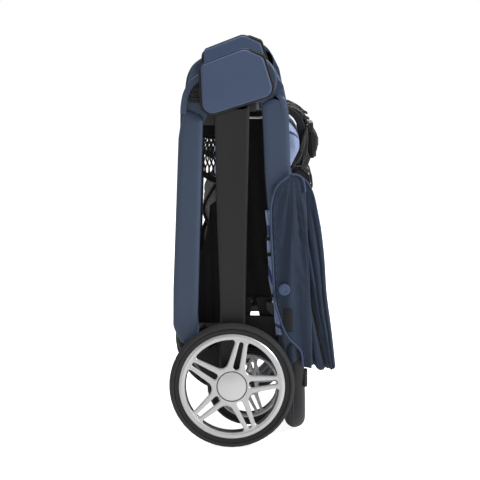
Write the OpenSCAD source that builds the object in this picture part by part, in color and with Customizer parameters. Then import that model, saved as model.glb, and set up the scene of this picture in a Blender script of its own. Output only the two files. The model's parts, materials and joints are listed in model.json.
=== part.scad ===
// Folding baby stroller, stored folded and standing on its rear wheels and handle grip.
// Millimetres, +Z up. +X is the side of the handle and canopy, -Y is the stroller's left side.
// Lengths along X are counted from the rear axle, and place() moves them to the part's origin.

/* [Wheels] */
// Radius of a rear tyre
rear_wheel_r = 102.5; // [98:0.5:104]
// Width of a rear tyre
rear_wheel_w = 29; // [24:1:29]
// Distance from the middle plane to a rear wheel's middle
rear_wheel_y = 235; // [235:1:240]
// Radius of a front tyre
front_wheel_r = 68; // [62:1:69]
// Width of a front tyre
front_wheel_w = 26; // [22:1:26]
// Number of spokes in each rim
spokes = 5; // [3:1:7]

/* [Frame] */
// Outer face of the blue side tubes, from the middle plane
tube_out_y = 212; // [211:0.5:212.5]
// Width of the side tubes across the stroller
tube_w = 28; // [24:1:28]
// Wall of the side tubes
tube_wall = 2.2; // [1.5:0.1:3]
// Height of the fold pivots above the ground
pivot_z = 600; // [598:1:602]
// Radius of the fold pivot pins
pivot_pin_r = 6; // [5:0.5:7]
// Radial clearance of a pin in its bore
fit = 0.05; // [0.02:0.01:0.1]

/* [Caster] */
// Lean of the swivel axis from the vertical, while folded
caster_lean = 34; // [33:1:35]
// Distance of the front axle behind the swivel axis
caster_trail = 24; // [20:1:26]

/* [Handle] */
// Radius of the grip's section
grip_r = 17.5; // [15:0.5:17.5]
// Radius of the grip's two bends, at its centre line
grip_bend_r = 132.5; // [120:2.5:132.5]

/* [Canopy] */
// Length of the canopy hoops
hoop_len = 285; // [280:1:287]
// Angle between neighbouring hoops while folded
hoop_step = 3.3; // [3.2:0.1:3.4]

/* [Hidden] */
$fn = 64;

// Colours
blue = [0.27, 0.34, 0.46];
navy = [0.15, 0.21, 0.31];
black = [0.16, 0.16, 0.17];
dark = [0.24, 0.24, 0.25];
silver = [0.80, 0.80, 0.80];
pale = [0.62, 0.70, 0.84];

// Overall reach: the rear tyre on the -X side and the folded canopy on the +X side
canopy_reach = 170;
origin_x = (canopy_reach - rear_wheel_r) / 2;

// Hub: a layered housing between an outer and an inner blue cover
hub_corners = [[-50.5, 623.5], [-47, 540.7], [69, 577.5], [50.5, 637], [20, 650.7]];
hub_radii = [8, 17, 17, 9, 18];
hub_border = 3.5;
housing_out_y = 219.5;
cavity_out_y = 213;
cavity_in_y = 183;
plate_in_y = 179;
cover_out_y = 226;
cover_in_y = 174;
front_pivot = [-22, pivot_z];
handle_pivot = [36, pivot_z];
seat_pivot = [-3, 575];
side_gap = 0.5;
head_split_y = 198.5;
front_head_r = 20;
handle_head_r = 38;

// Rear leg
leg_in_y = 190;
leg_top_z = 553;
leg_wall = 3;
axle_r = 6;
wheel_gap = 7;
cross_z = 215;
cross_r = 12;

// Front leg's lower end and caster, in the caster's own directions
tube_in_y = tube_out_y - tube_w;
caster_y = 142;
caster_top = [-50, 157];
housing_r = 22;
housing_up = 24;
housing_down = 12;
crown_up = 12.6;
crown_down = 30;
axle_drop = 101.6;
swivel_pin_r = 5;
fork_arm_t = 5;
fork_half_w = front_wheel_w / 2 + 2.5 + fork_arm_t;
front_axle_r = 5;

// Handle and backrest
grip_x = 106.3;
grip_tilt = -2.2;
grip_half = 198;
back_half_w = 160;
back_top_z = 538;
back_low_z = 242;
button_y = 192;
button_z = 107;

// Canopy: each of its three hoops has its own layer beside the handle tube
canopy_pivot = [89, 420];
canopy_pin_r = 3;
layer_t = 2.8;
layer_gap = 0.4;
front_layer_y = 216.4;
rear_hoop_angle = -82.5;
hoop_half_angle = 1.4;
crown_t = 8;

// ---- Helpers ----

function unit(v) = v / norm(v);
function turned(a) = a > 180 ? a - 360 : a < -180 ? a + 360 : a;

// Points of the arc that rounds corner b of the path a-b-c with radius r
function corner_arc(a, b, c, r, n) =
  let (
    u = unit(a - b),
    w = unit(c - b),
    half = acos(u * w) / 2,
    p = b + u * r / tan(half),
    q = b + w * r / tan(half),
    o = b + unit(u + w) * r / sin(half),
    a0 = atan2(p[1] - o[1], p[0] - o[0]),
    sweep = turned(atan2(q[1] - o[1], q[0] - o[0]) - a0)
  )
  [for (i = [0:n]) o + r * [cos(a0 + sweep * i / n), sin(a0 + sweep * i / n)]];

// A closed outline with its corners rounded, one radius a corner
function rounded(pts, radii, n = 6) =
  let (m = len(pts))
  [for (i = [0:m - 1]) each corner_arc(pts[(i + m - 1) % m], pts[i], pts[(i + 1) % m], radii[i], n)];

// Unit normal that points out of a counter-clockwise outline at its edge a-b
function edge_out(a, b) = let (u = unit(b - a)) [u[1], -u[0]];

// A counter-clockwise outline moved outwards by d
function grown(pts, d) =
  let (m = len(pts))
  [for (i = [0:m - 1])
    let (
      n0 = edge_out(pts[(i + m - 1) % m], pts[i]),
      n1 = edge_out(pts[i], pts[(i + 1) % m])
    )
    pts[i] + (n0 + n1) * d / (1 + n0 * n1)];

// Moves a piece from the rear axle's X to the part's origin
module place() {
  translate([-origin_x, 0, 0]) children();
}

module left() {
  place() children();
}

module right() {
  place() mirror([0, 1, 0]) children();
}

module both() {
  left() children();
  right() children();
}

// An outline in the side view, made solid between two depths
module side(y0, y1) {
  translate([0, y1, 0]) rotate([90, 0, 0]) linear_extrude(y1 - y0) children();
}

// A round bar across the stroller, centred on point c of the side view
module bar(c, y0, y1, r) {
  translate([c[0], y0, c[1]]) rotate([-90, 0, 0]) cylinder(h = y1 - y0, r = r);
}

// A box from its low and high corners
module block(low, high) {
  translate(low) cube(high - low);
}

// Puts children, drawn with Z down along the swivel axis and X away from it, at the caster
module at_caster() {
  translate([caster_top[0], -caster_y, caster_top[1]]) rotate([0, 180 - caster_lean, 0]) mirror([1, 0, 0]) children();
}

// Part of a ring in the side view around the canopy's pivot
module fan(r0, r1, a0, a1) {
  steps = 4;
  outer = [for (i = [0:steps]) canopy_pivot + r1 * [cos(a0 + (a1 - a0) * i / steps), sin(a0 + (a1 - a0) * i / steps)]];
  inner = [for (i = [steps:-1:0]) canopy_pivot + r0 * [cos(a0 + (a1 - a0) * i / steps), sin(a0 + (a1 - a0) * i / steps)]];
  polygon(concat(outer, inner));
}

// ---- Rear frame ----

module rear_leg() {
  outline = [[-27.5, leg_top_z], [-25.3, 404], [-19.5, 230], [-21, 100], [21, 100], [22.5, 230], [26, 404], [27.5, leg_top_z]];
  core = [[-24, leg_top_z - 14], [-22, 404], [-16.5, 232], [19.5, 232], [23, 404], [24, leg_top_z - 14]];
  color(black) difference() {
    union() {
      side(-cavity_out_y, -leg_in_y) polygon(outline);
      bar([0, rear_wheel_r], -cavity_out_y, -leg_in_y, 24);
    }
    side(-cavity_out_y + leg_wall, -leg_in_y + leg_wall) polygon(core);
  }
}

module hub_housing() {
  outline = rounded(grown(hub_corners, hub_border), [for (r = hub_radii) r + hub_border]);
  color(black) {
    side(-housing_out_y, -cavity_out_y) polygon(outline);
    side(-cavity_in_y, -plate_in_y) polygon(outline);
    block([-25, -cavity_out_y, leg_top_z], [22, -cavity_in_y, 560]);
  }
}

module hub_cover() {
  color(blue) side(-cover_out_y, -housing_out_y) polygon(rounded(hub_corners, hub_radii));
}

module hub_inner_cover() {
  color(blue) side(-plate_in_y, -cover_in_y) polygon(rounded(hub_corners, hub_radii));
}

module pivot_pins() {
  color(silver) {
    bar(front_pivot, -cavity_out_y, -cavity_in_y, pivot_pin_r);
    bar(handle_pivot, -cavity_out_y, -cavity_in_y, pivot_pin_r);
    bar(seat_pivot, -cover_in_y, -162, 5);
  }
}

module cross_tube() {
  color(black) difference() {
    bar([0, cross_z], -leg_in_y, leg_in_y, cross_r);
    bar([0, cross_z], -leg_in_y + 6, leg_in_y - 6, cross_r - 2);
  }
}

module axle_stub() {
  color(silver) {
    bar([0, rear_wheel_r], -(rear_wheel_y + 9), -cavity_out_y, axle_r);
    bar([0, rear_wheel_r], -(cavity_out_y + wheel_gap), -cavity_out_y, 13);
  }
}

module basket_bag() {
  wall = 3;
  low = [-46, -165, 236];
  high = [20, 165, 322];
  color(dark) difference() {
    block(low, high);
    block(low + [wall, wall, wall], high + [-wall, -wall, 1]);
  }
}

// ---- Wheels, drawn around the wheel's centre with the outer face towards -Y ----

module tyre(r, r_in, w) {
  section_r = w * 0.585;
  color(dark) rotate([90, 0, 0]) rotate_extrude($fn = 96) intersection() {
    translate([r - section_r, 0]) circle(r = section_r);
    translate([r_in, -w / 2]) square([r - r_in, w]);
  }
}

module rim(r, w, hub_r, bore_r, spoke_w) {
  ring_t = r * 0.105;
  face_t = w * 0.32;
  color(silver) difference() {
    union() {
      rotate([90, 0, 0]) rotate_extrude($fn = 96) translate([r - ring_t, -w / 2]) square([ring_t, w]);
      translate([0, -w / 2 + face_t, 0]) rotate([90, 0, 0]) linear_extrude(face_t) difference() {
        union() {
          circle(r = hub_r);
          for (i = [0:spokes - 1])
            rotate(5.6 + i * 360 / spokes)
              polygon([[hub_r * 0.5, -spoke_w * 0.62], [r - ring_t / 2, -spoke_w / 2], [r - ring_t / 2, spoke_w / 2], [hub_r * 0.5, spoke_w * 0.62]]);
        }
        for (i = [0:spokes - 1])
          rotate(5.6 + i * 360 / spokes)
            polygon([[r * 0.37, -spoke_w * 0.16], [r * 0.83, -spoke_w * 0.1], [r * 0.83, spoke_w * 0.1], [r * 0.37, spoke_w * 0.16]]);
      }
      rotate([90, 0, 0]) cylinder(h = w - 4, r = hub_r * 0.62, center = true);
    }
    rotate([90, 0, 0]) cylinder(h = w + 2, r = bore_r, center = true);
  }
}

module hub_cap(r, w, t) {
  color(silver) translate([0, -w / 2, 0]) rotate([90, 0, 0]) cylinder(h = t, r = r);
}

module at_rear_wheel() {
  translate([0, -rear_wheel_y, rear_wheel_r]) children();
}

module rear_tyre() {
  at_rear_wheel() tyre(rear_wheel_r, 86, rear_wheel_w);
}

module rear_rim() {
  at_rear_wheel() rim(86, rear_wheel_w - 3, 32, axle_r + fit, 27);
}

module rear_hub_cap() {
  at_rear_wheel() hub_cap(23.6, rear_wheel_w - 3, 1.8);
}

module at_front_wheel() {
  at_caster() translate([caster_trail, 0, axle_drop]) rotate([0, 180, 0]) children();
}

module front_tyre() {
  at_front_wheel() tyre(front_wheel_r, 54, front_wheel_w);
}

module front_rim() {
  at_front_wheel() rim(54, front_wheel_w - 4, 18, front_axle_r + fit, 17);
}

module front_hub_cap() {
  at_front_wheel() difference() {
    hub_cap(11, front_wheel_w - 4, 1.2);
    rotate([90, 0, 0]) cylinder(h = front_wheel_w + 2, r = front_axle_r + 0.4, center = true);
  }
}

// ---- Front frame ----

module front_leg() {
  shell = rounded(
    [[-46.5, 560], [-50.3, 403], [-55.5, 215], [-52, 176], [-82, 160], [-96.5, 196], [-96, 256], [-85, 545], [-71, 596], [-46, 613]],
    [2, 60, 60, 4, 12, 18, 60, 60, 24, 3]
  );
  head = [[-46, 616], [-22, 620], [-22, 580], [-46, 562]];
  core = [[-50, 540], [-58, 215], [-56, 184], [-84, 190], [-92, 215], [-82, 540]];
  color(blue) difference() {
    union() {
      side(-tube_out_y, -tube_in_y) polygon(shell);
      side(-head_split_y + side_gap, -tube_in_y) polygon(head);
      bar(front_pivot, -head_split_y + side_gap, -tube_in_y, front_head_r);
    }
    side(-tube_out_y + tube_wall, -tube_in_y - tube_wall) polygon(core);
    bar(front_pivot, -tube_out_y, -tube_in_y + 1, pivot_pin_r + fit);
  }
}

// Black end of the front leg, which bends in to the swivel bearing
module caster_housing() {
  arm = [[-79, 160.5], [-54, 174.5], [-38, 160], [-56, 142], [-80, 148]];
  color(black) difference() {
    union() {
      side(-tube_out_y + 1, -caster_y) polygon(arm);
      at_caster() translate([0, 0, -housing_up]) cylinder(h = housing_up + housing_down, r = housing_r);
    }
    at_caster() translate([0, 0, -16]) cylinder(h = 40, r = swivel_pin_r + fit);
  }
}

module front_tube() {
  color(black) difference() {
    bar([-70, 312], -tube_in_y, tube_in_y, 10);
    bar([-70, 312], -tube_in_y + 6, tube_in_y - 6, 8);
  }
}

module footrest_board() {
  color(dark) block([-90, -tube_in_y, 205], [-80, tube_in_y, 298]);
}

// Two rivet heads on the outer face of each caster housing's arm
module rivets() {
  color(silver) {
    bar([-66, 152], -tube_out_y - 0.5, -tube_out_y + 1, 3);
    bar([-52, 160], -tube_out_y - 0.5, -tube_out_y + 1, 3);
  }
}

module fork() {
  side_outline = [[-25, crown_up], [20, crown_up], [20, 52], [37, axle_drop - 2], [31, axle_drop + 11], [17, axle_drop + 11], [-18, 62], [-26, 45]];
  color(black) difference() {
    union() {
      at_caster() rotate([90, 0, 0]) translate([0, 0, -fork_half_w]) linear_extrude(2 * fork_half_w) difference() {
        polygon(side_outline);
        translate([caster_trail, axle_drop]) circle(r = front_wheel_r + 2.5, $fn = 96);
      }
      at_caster() for (s = [-fork_half_w, fork_half_w - fork_arm_t])
        translate([0, s + fork_arm_t, 0]) rotate([90, 0, 0]) linear_extrude(fork_arm_t) polygon(side_outline);
      at_caster() translate([0, 0, -15]) cylinder(h = 15 + crown_up + 1, r = swivel_pin_r);
    }
    at_front_wheel() rotate([90, 0, 0]) cylinder(h = 2 * fork_half_w + 2, r = front_axle_r, center = true);
  }
}

module front_axle() {
  color(silver) at_front_wheel() rotate([90, 0, 0]) cylinder(h = 2 * fork_half_w, r = front_axle_r, center = true);
}

// ---- Handle ----

module handle_tube() {
  outer = rounded(
    [[50, 566], [54, 445], [78, 150], [82, 128], [103, 109], [113, 128], [115.5, 148], [96.5, 437], [93, 540], [82, 585], [72, 614], [50, 620]],
    [3, 80, 10, 8, 6, 8, 20, 200, 60, 40, 8, 3]
  );
  inner_low = [[56, 588], [56, 540], [62, 540], [90, 540], [82, 588]];
  core = [[56, 545], [58, 445], [80, 165], [110, 165], [92, 437], [88, 545]];
  color(blue) difference() {
    union() {
      side(-tube_out_y, -tube_in_y) intersection() {
        polygon(outer);
        translate([0, 100]) square([200, 488]);
      }
      side(-tube_out_y, -head_split_y - side_gap) polygon(outer);
      bar(handle_pivot, -tube_out_y, -head_split_y - side_gap, handle_head_r);
    }
    side(-tube_out_y + tube_wall, -tube_in_y - tube_wall) polygon(core);
    bar(handle_pivot, -tube_out_y - 1, -tube_in_y + 1, pivot_pin_r + fit);
  }
}

// U-shaped grip: a straight cross-bar between two bends
module grip() {
  half_bar = grip_half - grip_bend_r;
  color(black) difference() {
    translate([grip_x, 0, grip_r]) rotate([0, grip_tilt, 0]) {
      bar([0, 0], -half_bar, half_bar, grip_r);
      for (s = [0, 1])
        mirror([0, s, 0]) translate([0, -half_bar, grip_bend_r]) rotate([0, -90, 0]) rotate([0, 0, 180])
          rotate_extrude(angle = 90, $fn = 96) translate([grip_bend_r, 0]) circle(r = grip_r, $fn = 48);
    }
    block([grip_x + 9, -button_y - 7.5, button_z - 15.5], [grip_x + 30, -button_y + 7.5, button_z + 15.5]);
  }
}

module fold_key() {
  color(dark) block([grip_x + 12.1, -button_y - 7, button_z - 15], [grip_x + 18.1, -button_y + 7, button_z + 15]);
}

// A tray whose open side faces the pad
module back_shell() {
  wall = 3;
  color(black) difference() {
    side(-back_half_w, back_half_w) polygon(rounded(
      [[29, back_top_z], [31, back_low_z], [48, back_low_z], [47, back_top_z]], [4, 6, 3, 3]));
    side(-back_half_w + wall, back_half_w - wall)
      polygon([[33, back_top_z - wall], [35, back_low_z + wall], [60, back_low_z + wall], [60, back_top_z - wall]]);
  }
}

module back_pad() {
  color(pale) side(-150, 150) polygon(rounded(
    [[47.3, 534], [48.2, 250], [84, 250], [88, 440], [110, 492], [104, 530], [80, 537]], [4, 6, 14, 40, 14, 14, 20]));
}

module back_brackets() {
  color(dark) for (z = [300, 500])
    block([66, -tube_in_y, z], [82, -150, z + 24]);
}

module straps() {
  strap_w = 25;
  strap_t = 2.5;
  color(black) for (s = [-1, 1]) {
    // Waist strap, from the hip to the buckle
    side(s * 55 - strap_w / 2, s * 55 + strap_w / 2) intersection() {
      difference() {
        translate([78, 484]) circle(r = 64);
        translate([78, 484]) circle(r = 64 - strap_t);
      }
      polygon([[78, 484], [94, 600], [200, 600], [200, 530]]);
    }
    // Shoulder strap, from the buckle down to the shoulder pad
    side(s * 45 - strap_w / 2, s * 45 + strap_w / 2)
      polygon([[124, 500], [127, 500], [122, 452], [119, 452]]);
  }
}

module shoulder_pad() {
  color(black) side(-64, -26) polygon(rounded([[97, 340], [112, 340], [128, 436], [121, 451], [108, 451]], [6, 6, 9, 8, 8]));
}

module buckle_body() {
  color(dark) difference() {
    side(-19, 19) polygon(rounded([[128, 516], [129, 452], [143, 452], [146, 490], [138, 516]], [3, 4, 4, 14, 4]));
    bar_x(480);
  }
}

// Pocket of the buckle's button
module bar_x(z) {
  translate([139, 0, z]) rotate([0, 90, 0]) cylinder(h = 20, r = 9);
}

module buckle_key() {
  color(dark) translate([142.3, 0, 480]) rotate([0, 90, 0]) cylinder(h = 5.2, r = 8.6);
}

// ---- Seat ----

module seat_tubes() {
  side_bar = [[-9, 583], [3, 583], [3, 345], [-9, 345]];
  color(black) difference() {
    union() {
      for (y = [-172, 164]) {
        side(y, y + 8) polygon(side_bar);
        bar(seat_pivot, y, y + 8, 12);
      }
      block([-9, -172, 336], [3, 172, 348]);
      block([-7, -164, 420], [1, 164, 440]);
    }
    bar(seat_pivot, -180, 180, 5 + fit);
  }
}

module seat_cushion() {
  color(pale) side(-158, 158) polygon(rounded([[-28, 556], [-28, 342], [-9.4, 342], [-9.4, 556]], [7, 7, 4, 4]));
}

// ---- Brake ----

module pedal() {
  color(dark) difference() {
    union() {
      bar([0, cross_z], -178, -130, cross_r + 4);
      block([10, -176, cross_z - 1], [58, -132, cross_z + 9]);
      side(-178, -130) intersection() {
        translate([73, 226]) circle(r = 21);
        translate([50, 200]) square([23, 26]);
      }
    }
    bar([0, cross_z], -180, -128, cross_r + fit);
  }
}

// ---- Canopy ----

function layer_y(i) = front_layer_y + i * (layer_t + layer_gap);
function hoop_angle(i) = rear_hoop_angle + (2 - i) * hoop_step;

// A U-shaped hoop. Layer 2 is the rear hoop, 1 the middle one and 0 the front one.
module hoop(i) {
  a = hoop_angle(i);
  end = canopy_pivot + hoop_len * [cos(a), sin(a)];
  y = layer_y(i);
  color(dark) difference() {
    union() {
      for (s = [-1, 1]) {
        low = s < 0 ? -y - layer_t : y;
        side(low, low + layer_t) polygon([
          canopy_pivot + 4 * [sin(a), -cos(a)],
          end + 4 * [sin(a), -cos(a)],
          end - 4 * [sin(a), -cos(a)],
          canopy_pivot - 4 * [sin(a), -cos(a)]
        ]);
        bar(canopy_pivot, low, low + layer_t, 10);
      }
      bar(end, -y - layer_t, y + layer_t, 4);
    }
    bar(canopy_pivot, -240, 240, canopy_pin_r + fit);
  }
}

// Fabric of one hoop: an outline beside the hoop's arm on each side, joined by the crown
module hoop_fabric(i, outline) {
  y = layer_y(i);
  a0 = hoop_angle(i) - hoop_half_angle;
  a1 = hoop_angle(i) + hoop_half_angle;
  color(navy) {
    for (s = [-1, 1]) {
      low = s < 0 ? -y - layer_t : y;
      side(low, low + layer_t) difference() {
        union() {
          polygon(outline);
          fan(hoop_len - 4, hoop_len + 4 + crown_t, a0, a1);
        }
        hoop_shadow(i);
      }
    }
    side(-y, y) fan(hoop_len + 4.2, hoop_len + 4 + crown_t, a0, a1);
  }
}

// Space that a hoop's arm takes in its own layer
module hoop_shadow(i) {
  a = hoop_angle(i);
  translate(canopy_pivot) circle(r = 10);
  polygon([
    canopy_pivot + 4 * [sin(a), -cos(a)],
    canopy_pivot + (hoop_len + 4) * [cos(a), sin(a)] + 4 * [sin(a), -cos(a)],
    canopy_pivot + (hoop_len + 4) * [cos(a), sin(a)] - 4 * [sin(a), -cos(a)],
    canopy_pivot - 4 * [sin(a), -cos(a)]
  ]);
}

module rear_panel() {
  hoop_fabric(2, [
    [60, 382], [62, 406], [71, 430], [84, 445], [98, 452], [111, 451], [122, 442],
    [126, 131], [114, 138], [88, 184], [70, 242]
  ]);
}

module mid_panel() {
  hoop_fabric(1, [[89, 420], [124, 414], [138, 330], [146, 136], [137.5, 134]]);
}

module front_panel() {
  hoop_fabric(0, [
    [89, 420], [98, 430], [124, 420], [143, 365], [153.5, 258], [163.7, 159], [canopy_reach, 132], [155, 134]
  ]);
}

module canopy_pins() {
  color(dark) bar(canopy_pivot, -227, -tube_out_y, canopy_pin_r);
}

module popper() {
  color(blue) bar([85.3, 260], -layer_y(2) - layer_t - 2.5, -layer_y(2) - layer_t, 9.5);
}

module label_patch() {
  color(black) block([84, -layer_y(2) - layer_t - 0.8, 190], [99, -layer_y(2) - layer_t, 229]);
}

// ---- Nodes ----

left() rear_leg();  // left_rear_leg
right() rear_leg();  // right_rear_leg
left() hub_housing();  // left_hub_housing
right() hub_housing();  // right_hub_housing
left() hub_cover();  // left_hub_cover
right() hub_cover();  // right_hub_cover
left() hub_inner_cover();  // left_hub_inner_cover
right() hub_inner_cover();  // right_hub_inner_cover
both() pivot_pins();  // hub_pivot_pins
place() cross_tube();  // rear_cross_tube
both() axle_stub();  // rear_axle_stubs
place() basket_bag();  // basket
left() rear_tyre();  // left_rear_tyre
left() rear_rim();  // left_rear_rim
left() rear_hub_cap();  // left_rear_hub_cap
right() rear_tyre();  // right_rear_tyre
right() rear_rim();  // right_rear_rim
right() rear_hub_cap();  // right_rear_hub_cap
left() front_leg();  // left_front_leg
right() front_leg();  // right_front_leg
left() caster_housing();  // left_caster_housing
right() caster_housing();  // right_caster_housing
place() front_tube();  // front_cross_tube
place() footrest_board();  // footrest
both() rivets();  // caster_rivets
left() fork();  // left_fork
right() fork();  // right_fork
left() front_axle();  // left_front_axle
right() front_axle();  // right_front_axle
left() front_tyre();  // left_front_tyre
left() front_rim();  // left_front_rim
left() front_hub_cap();  // left_front_hub_cap
right() front_tyre();  // right_front_tyre
right() front_rim();  // right_front_rim
right() front_hub_cap();  // right_front_hub_cap
left() handle_tube();  // left_handle_tube
right() handle_tube();  // right_handle_tube
place() grip();  // handle_grip
place() fold_key();  // fold_button
place() back_shell();  // backrest_shell
place() back_pad();  // backrest_pad
both() back_brackets();  // backrest_brackets
place() straps();  // harness_straps
both() shoulder_pad();  // shoulder_pads
place() buckle_body();  // buckle
place() buckle_key();  // buckle_button
place() seat_tubes();  // seat_frame
place() seat_cushion();  // seat_pad
place() pedal();  // brake_pedal
both() canopy_pins();  // canopy_pivot_pins
place() hoop(2);  // canopy_rear_hoop
place() rear_panel();  // canopy_rear_panel
both() popper();  // canopy_poppers
left() label_patch();  // label_patches
place() hoop(1);  // canopy_mid_hoop
place() mid_panel();  // canopy_mid_panel
place() hoop(0);  // canopy_front_hoop
place() front_panel();  // canopy_front_panel
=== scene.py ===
import json
from math import acos, asin, atan2, cos, degrees, exp, hypot, pi, radians, sin, tan
import bmesh
import bpy
import numpy as np
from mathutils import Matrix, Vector, noise

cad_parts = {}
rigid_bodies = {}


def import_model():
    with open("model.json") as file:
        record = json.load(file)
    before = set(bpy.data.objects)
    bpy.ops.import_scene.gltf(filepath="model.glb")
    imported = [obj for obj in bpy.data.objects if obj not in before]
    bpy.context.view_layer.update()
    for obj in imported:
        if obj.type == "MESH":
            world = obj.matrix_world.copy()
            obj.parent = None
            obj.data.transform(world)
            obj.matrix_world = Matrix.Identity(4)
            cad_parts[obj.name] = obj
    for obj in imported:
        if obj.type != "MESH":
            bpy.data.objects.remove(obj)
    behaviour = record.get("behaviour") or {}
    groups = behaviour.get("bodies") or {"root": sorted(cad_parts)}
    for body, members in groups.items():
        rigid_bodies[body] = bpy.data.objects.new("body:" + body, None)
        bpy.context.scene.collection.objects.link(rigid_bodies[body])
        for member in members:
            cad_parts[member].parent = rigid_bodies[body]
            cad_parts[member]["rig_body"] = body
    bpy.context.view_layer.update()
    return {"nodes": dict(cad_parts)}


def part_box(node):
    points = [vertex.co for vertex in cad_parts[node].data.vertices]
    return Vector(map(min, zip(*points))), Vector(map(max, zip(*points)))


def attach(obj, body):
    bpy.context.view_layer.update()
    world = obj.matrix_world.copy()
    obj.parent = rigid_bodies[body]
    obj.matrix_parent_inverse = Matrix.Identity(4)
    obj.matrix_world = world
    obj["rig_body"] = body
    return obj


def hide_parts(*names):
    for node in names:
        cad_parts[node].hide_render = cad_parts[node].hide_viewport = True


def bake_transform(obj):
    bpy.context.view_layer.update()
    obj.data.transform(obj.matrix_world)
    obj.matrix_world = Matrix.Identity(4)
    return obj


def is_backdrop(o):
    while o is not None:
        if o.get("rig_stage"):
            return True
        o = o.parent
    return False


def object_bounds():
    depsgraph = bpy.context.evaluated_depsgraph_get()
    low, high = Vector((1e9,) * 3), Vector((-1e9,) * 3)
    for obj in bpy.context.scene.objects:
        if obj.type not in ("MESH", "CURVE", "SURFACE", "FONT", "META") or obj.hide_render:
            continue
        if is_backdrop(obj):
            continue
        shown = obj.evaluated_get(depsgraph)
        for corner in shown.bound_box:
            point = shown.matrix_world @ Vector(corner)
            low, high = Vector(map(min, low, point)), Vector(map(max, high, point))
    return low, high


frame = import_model()

# Lengths below are millimetres. X is counted from the rear axle, -Y is the stroller's left side.
MM = 0.001
tyre_low, tyre_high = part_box("left_rear_tyre")
AXLE_X = (tyre_low.x + tyre_high.x) / 2
TUBE_OUT = -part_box("left_handle_tube")[0].y / MM
TUBE_IN = -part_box("left_handle_tube")[1].y / MM
LEG_OUT = -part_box("left_rear_leg")[0].y / MM
LEG_IN = -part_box("left_rear_leg")[1].y / MM
SIDES = ("left", "right")
REAR_R, REAR_Y = 102.5, 235  # rear wheel's radius, and how far its middle is from the stroller's
FRONT_R, FRONT_Y = 68, 142
HINGE_Z = 600  # main fold's hinges
PIVOT = (89.0, 420.0)  # canopy's pivot


def at(x, y, z):
    return Vector((AXLE_X + x * MM, y * MM, z * MM))


# ---- Outlines in the side view ----

def corner(a, b, c, r, n):
    """The arc of radius r that rounds the corner at b, in n steps."""
    a, b, c = Vector(a), Vector(b), Vector(c)
    u, w = (a - b).normalized(), (c - b).normalized()
    half = acos(max(-1, min(1, u.dot(w)))) / 2
    o = b + (u + w).normalized() * r / sin(half)
    p, q = b + u * r / tan(half) - o, b + w * r / tan(half) - o
    a0 = atan2(p.y, p.x)
    turn = (atan2(q.y, q.x) - a0 + pi) % (2 * pi) - pi
    return [(o.x + r * cos(a0 + turn * i / n), o.y + r * sin(a0 + turn * i / n)) for i in range(n + 1)]


def rounded(points, radii, n=8):
    """A closed outline with its corners rounded, counter-clockwise."""
    m = len(points)
    if not hasattr(radii, "__len__"):
        radii = [radii] * m
    out = [p for i in range(m) for p in corner(points[i - 1], points[i], points[(i + 1) % m], radii[i], n)]
    area = sum(out[i - 1][0] * out[i][1] - out[i][0] * out[i - 1][1] for i in range(len(out)))
    return out if area > 0 else out[::-1]


def circle(cx, cz, r, n=64):
    return [(cx + r * cos(2 * pi * i / n), cz + r * sin(2 * pi * i / n)) for i in range(n)]


def inset(outline, d):
    """The outline moved inwards by d."""
    out, m = [], len(outline)
    for i in range(m):
        a, b, c = Vector(outline[i - 1]), Vector(outline[i]), Vector(outline[(i + 1) % m])
        u, w = (b - a), (c - b)
        if u.length < 1e-6 or w.length < 1e-6:
            u = w = u if u.length > w.length else w
        u, w = u.normalized(), w.normalized()
        nu, nw = Vector((-u.y, u.x)), Vector((-w.y, w.x))
        s = nu + nw
        out.append(tuple(b + s * d / max(0.4, 1 + nu.dot(nw))))
    return out


def spline(points, n=12):
    """A smooth open curve through points of any dimension."""
    pts = [np.array(p, float) for p in points]
    pts = [2 * pts[0] - pts[1]] + pts + [2 * pts[-1] - pts[-2]]
    out = []
    for i in range(1, len(pts) - 2):
        p0, p1, p2, p3 = pts[i - 1:i + 3]
        for k in range(n):
            t = k / n
            out.append(0.5 * (2 * p1 + (p2 - p0) * t + (2 * p0 - 5 * p1 + 4 * p2 - p3) * t ** 2 + (3 * p1 - p0 - 3 * p2 + p3) * t ** 3))
    out.append(pts[-2])
    return [tuple(p) for p in out]


# ---- Meshes ----

def add_object(name, data):
    o = bpy.data.objects.new(name, data)
    bpy.context.scene.collection.objects.link(o)
    return o


def evaluated_mesh(o):
    """The object's mesh with its modifiers applied."""
    return bpy.data.meshes.new_from_object(o.evaluated_get(bpy.context.evaluated_depsgraph_get()))


def finish_piece(name, mesh, mat, body, angle=40, weighted=False, node=None, slot=None):
    """An object smooth up to an angle, on a body. node is the CAD node it replaces."""
    bm = bmesh.new()
    bm.from_mesh(mesh)
    bmesh.ops.remove_doubles(bm, verts=bm.verts, dist=1e-6)
    bmesh.ops.recalc_face_normals(bm, faces=bm.faces)
    bm.to_mesh(mesh)
    bm.free()
    mesh.name = name
    mesh.shade_smooth()
    if angle:
        mesh.set_sharp_from_angle(angle=radians(angle))
    mesh.materials.clear()
    mesh.materials.append(mat)
    o = add_object(name, mesh)
    if weighted:
        o.modifiers.new("normals", "WEIGHTED_NORMAL").keep_sharp = True
    if body:
        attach(o, body)
    if node:
        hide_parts(node)
    return o


def piece(name, verts, faces, mat, body, node=None, slot=None, **kw):
    mesh = bpy.data.meshes.new(name)
    mesh.from_pydata([at(*v) for v in verts], [], faces)
    return finish_piece(name, mesh, mat, body, node=node, slot=slot, **kw)


def mirrored(verts):
    return [(x, -y, z) for x, y, z in verts]


def pair(name, verts, faces, mat, body, node="", slot=None, **kw):
    """A left piece and its mirror image. SIDE in node stands for left or right."""
    piece(f"left_{name}", verts, faces, mat, body, node.replace("SIDE", "left"), slot, **kw)
    piece(f"right_{name}", mirrored(verts), [f[::-1] for f in faces], mat, body, node.replace("SIDE", "right"), slot, **kw)


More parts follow.
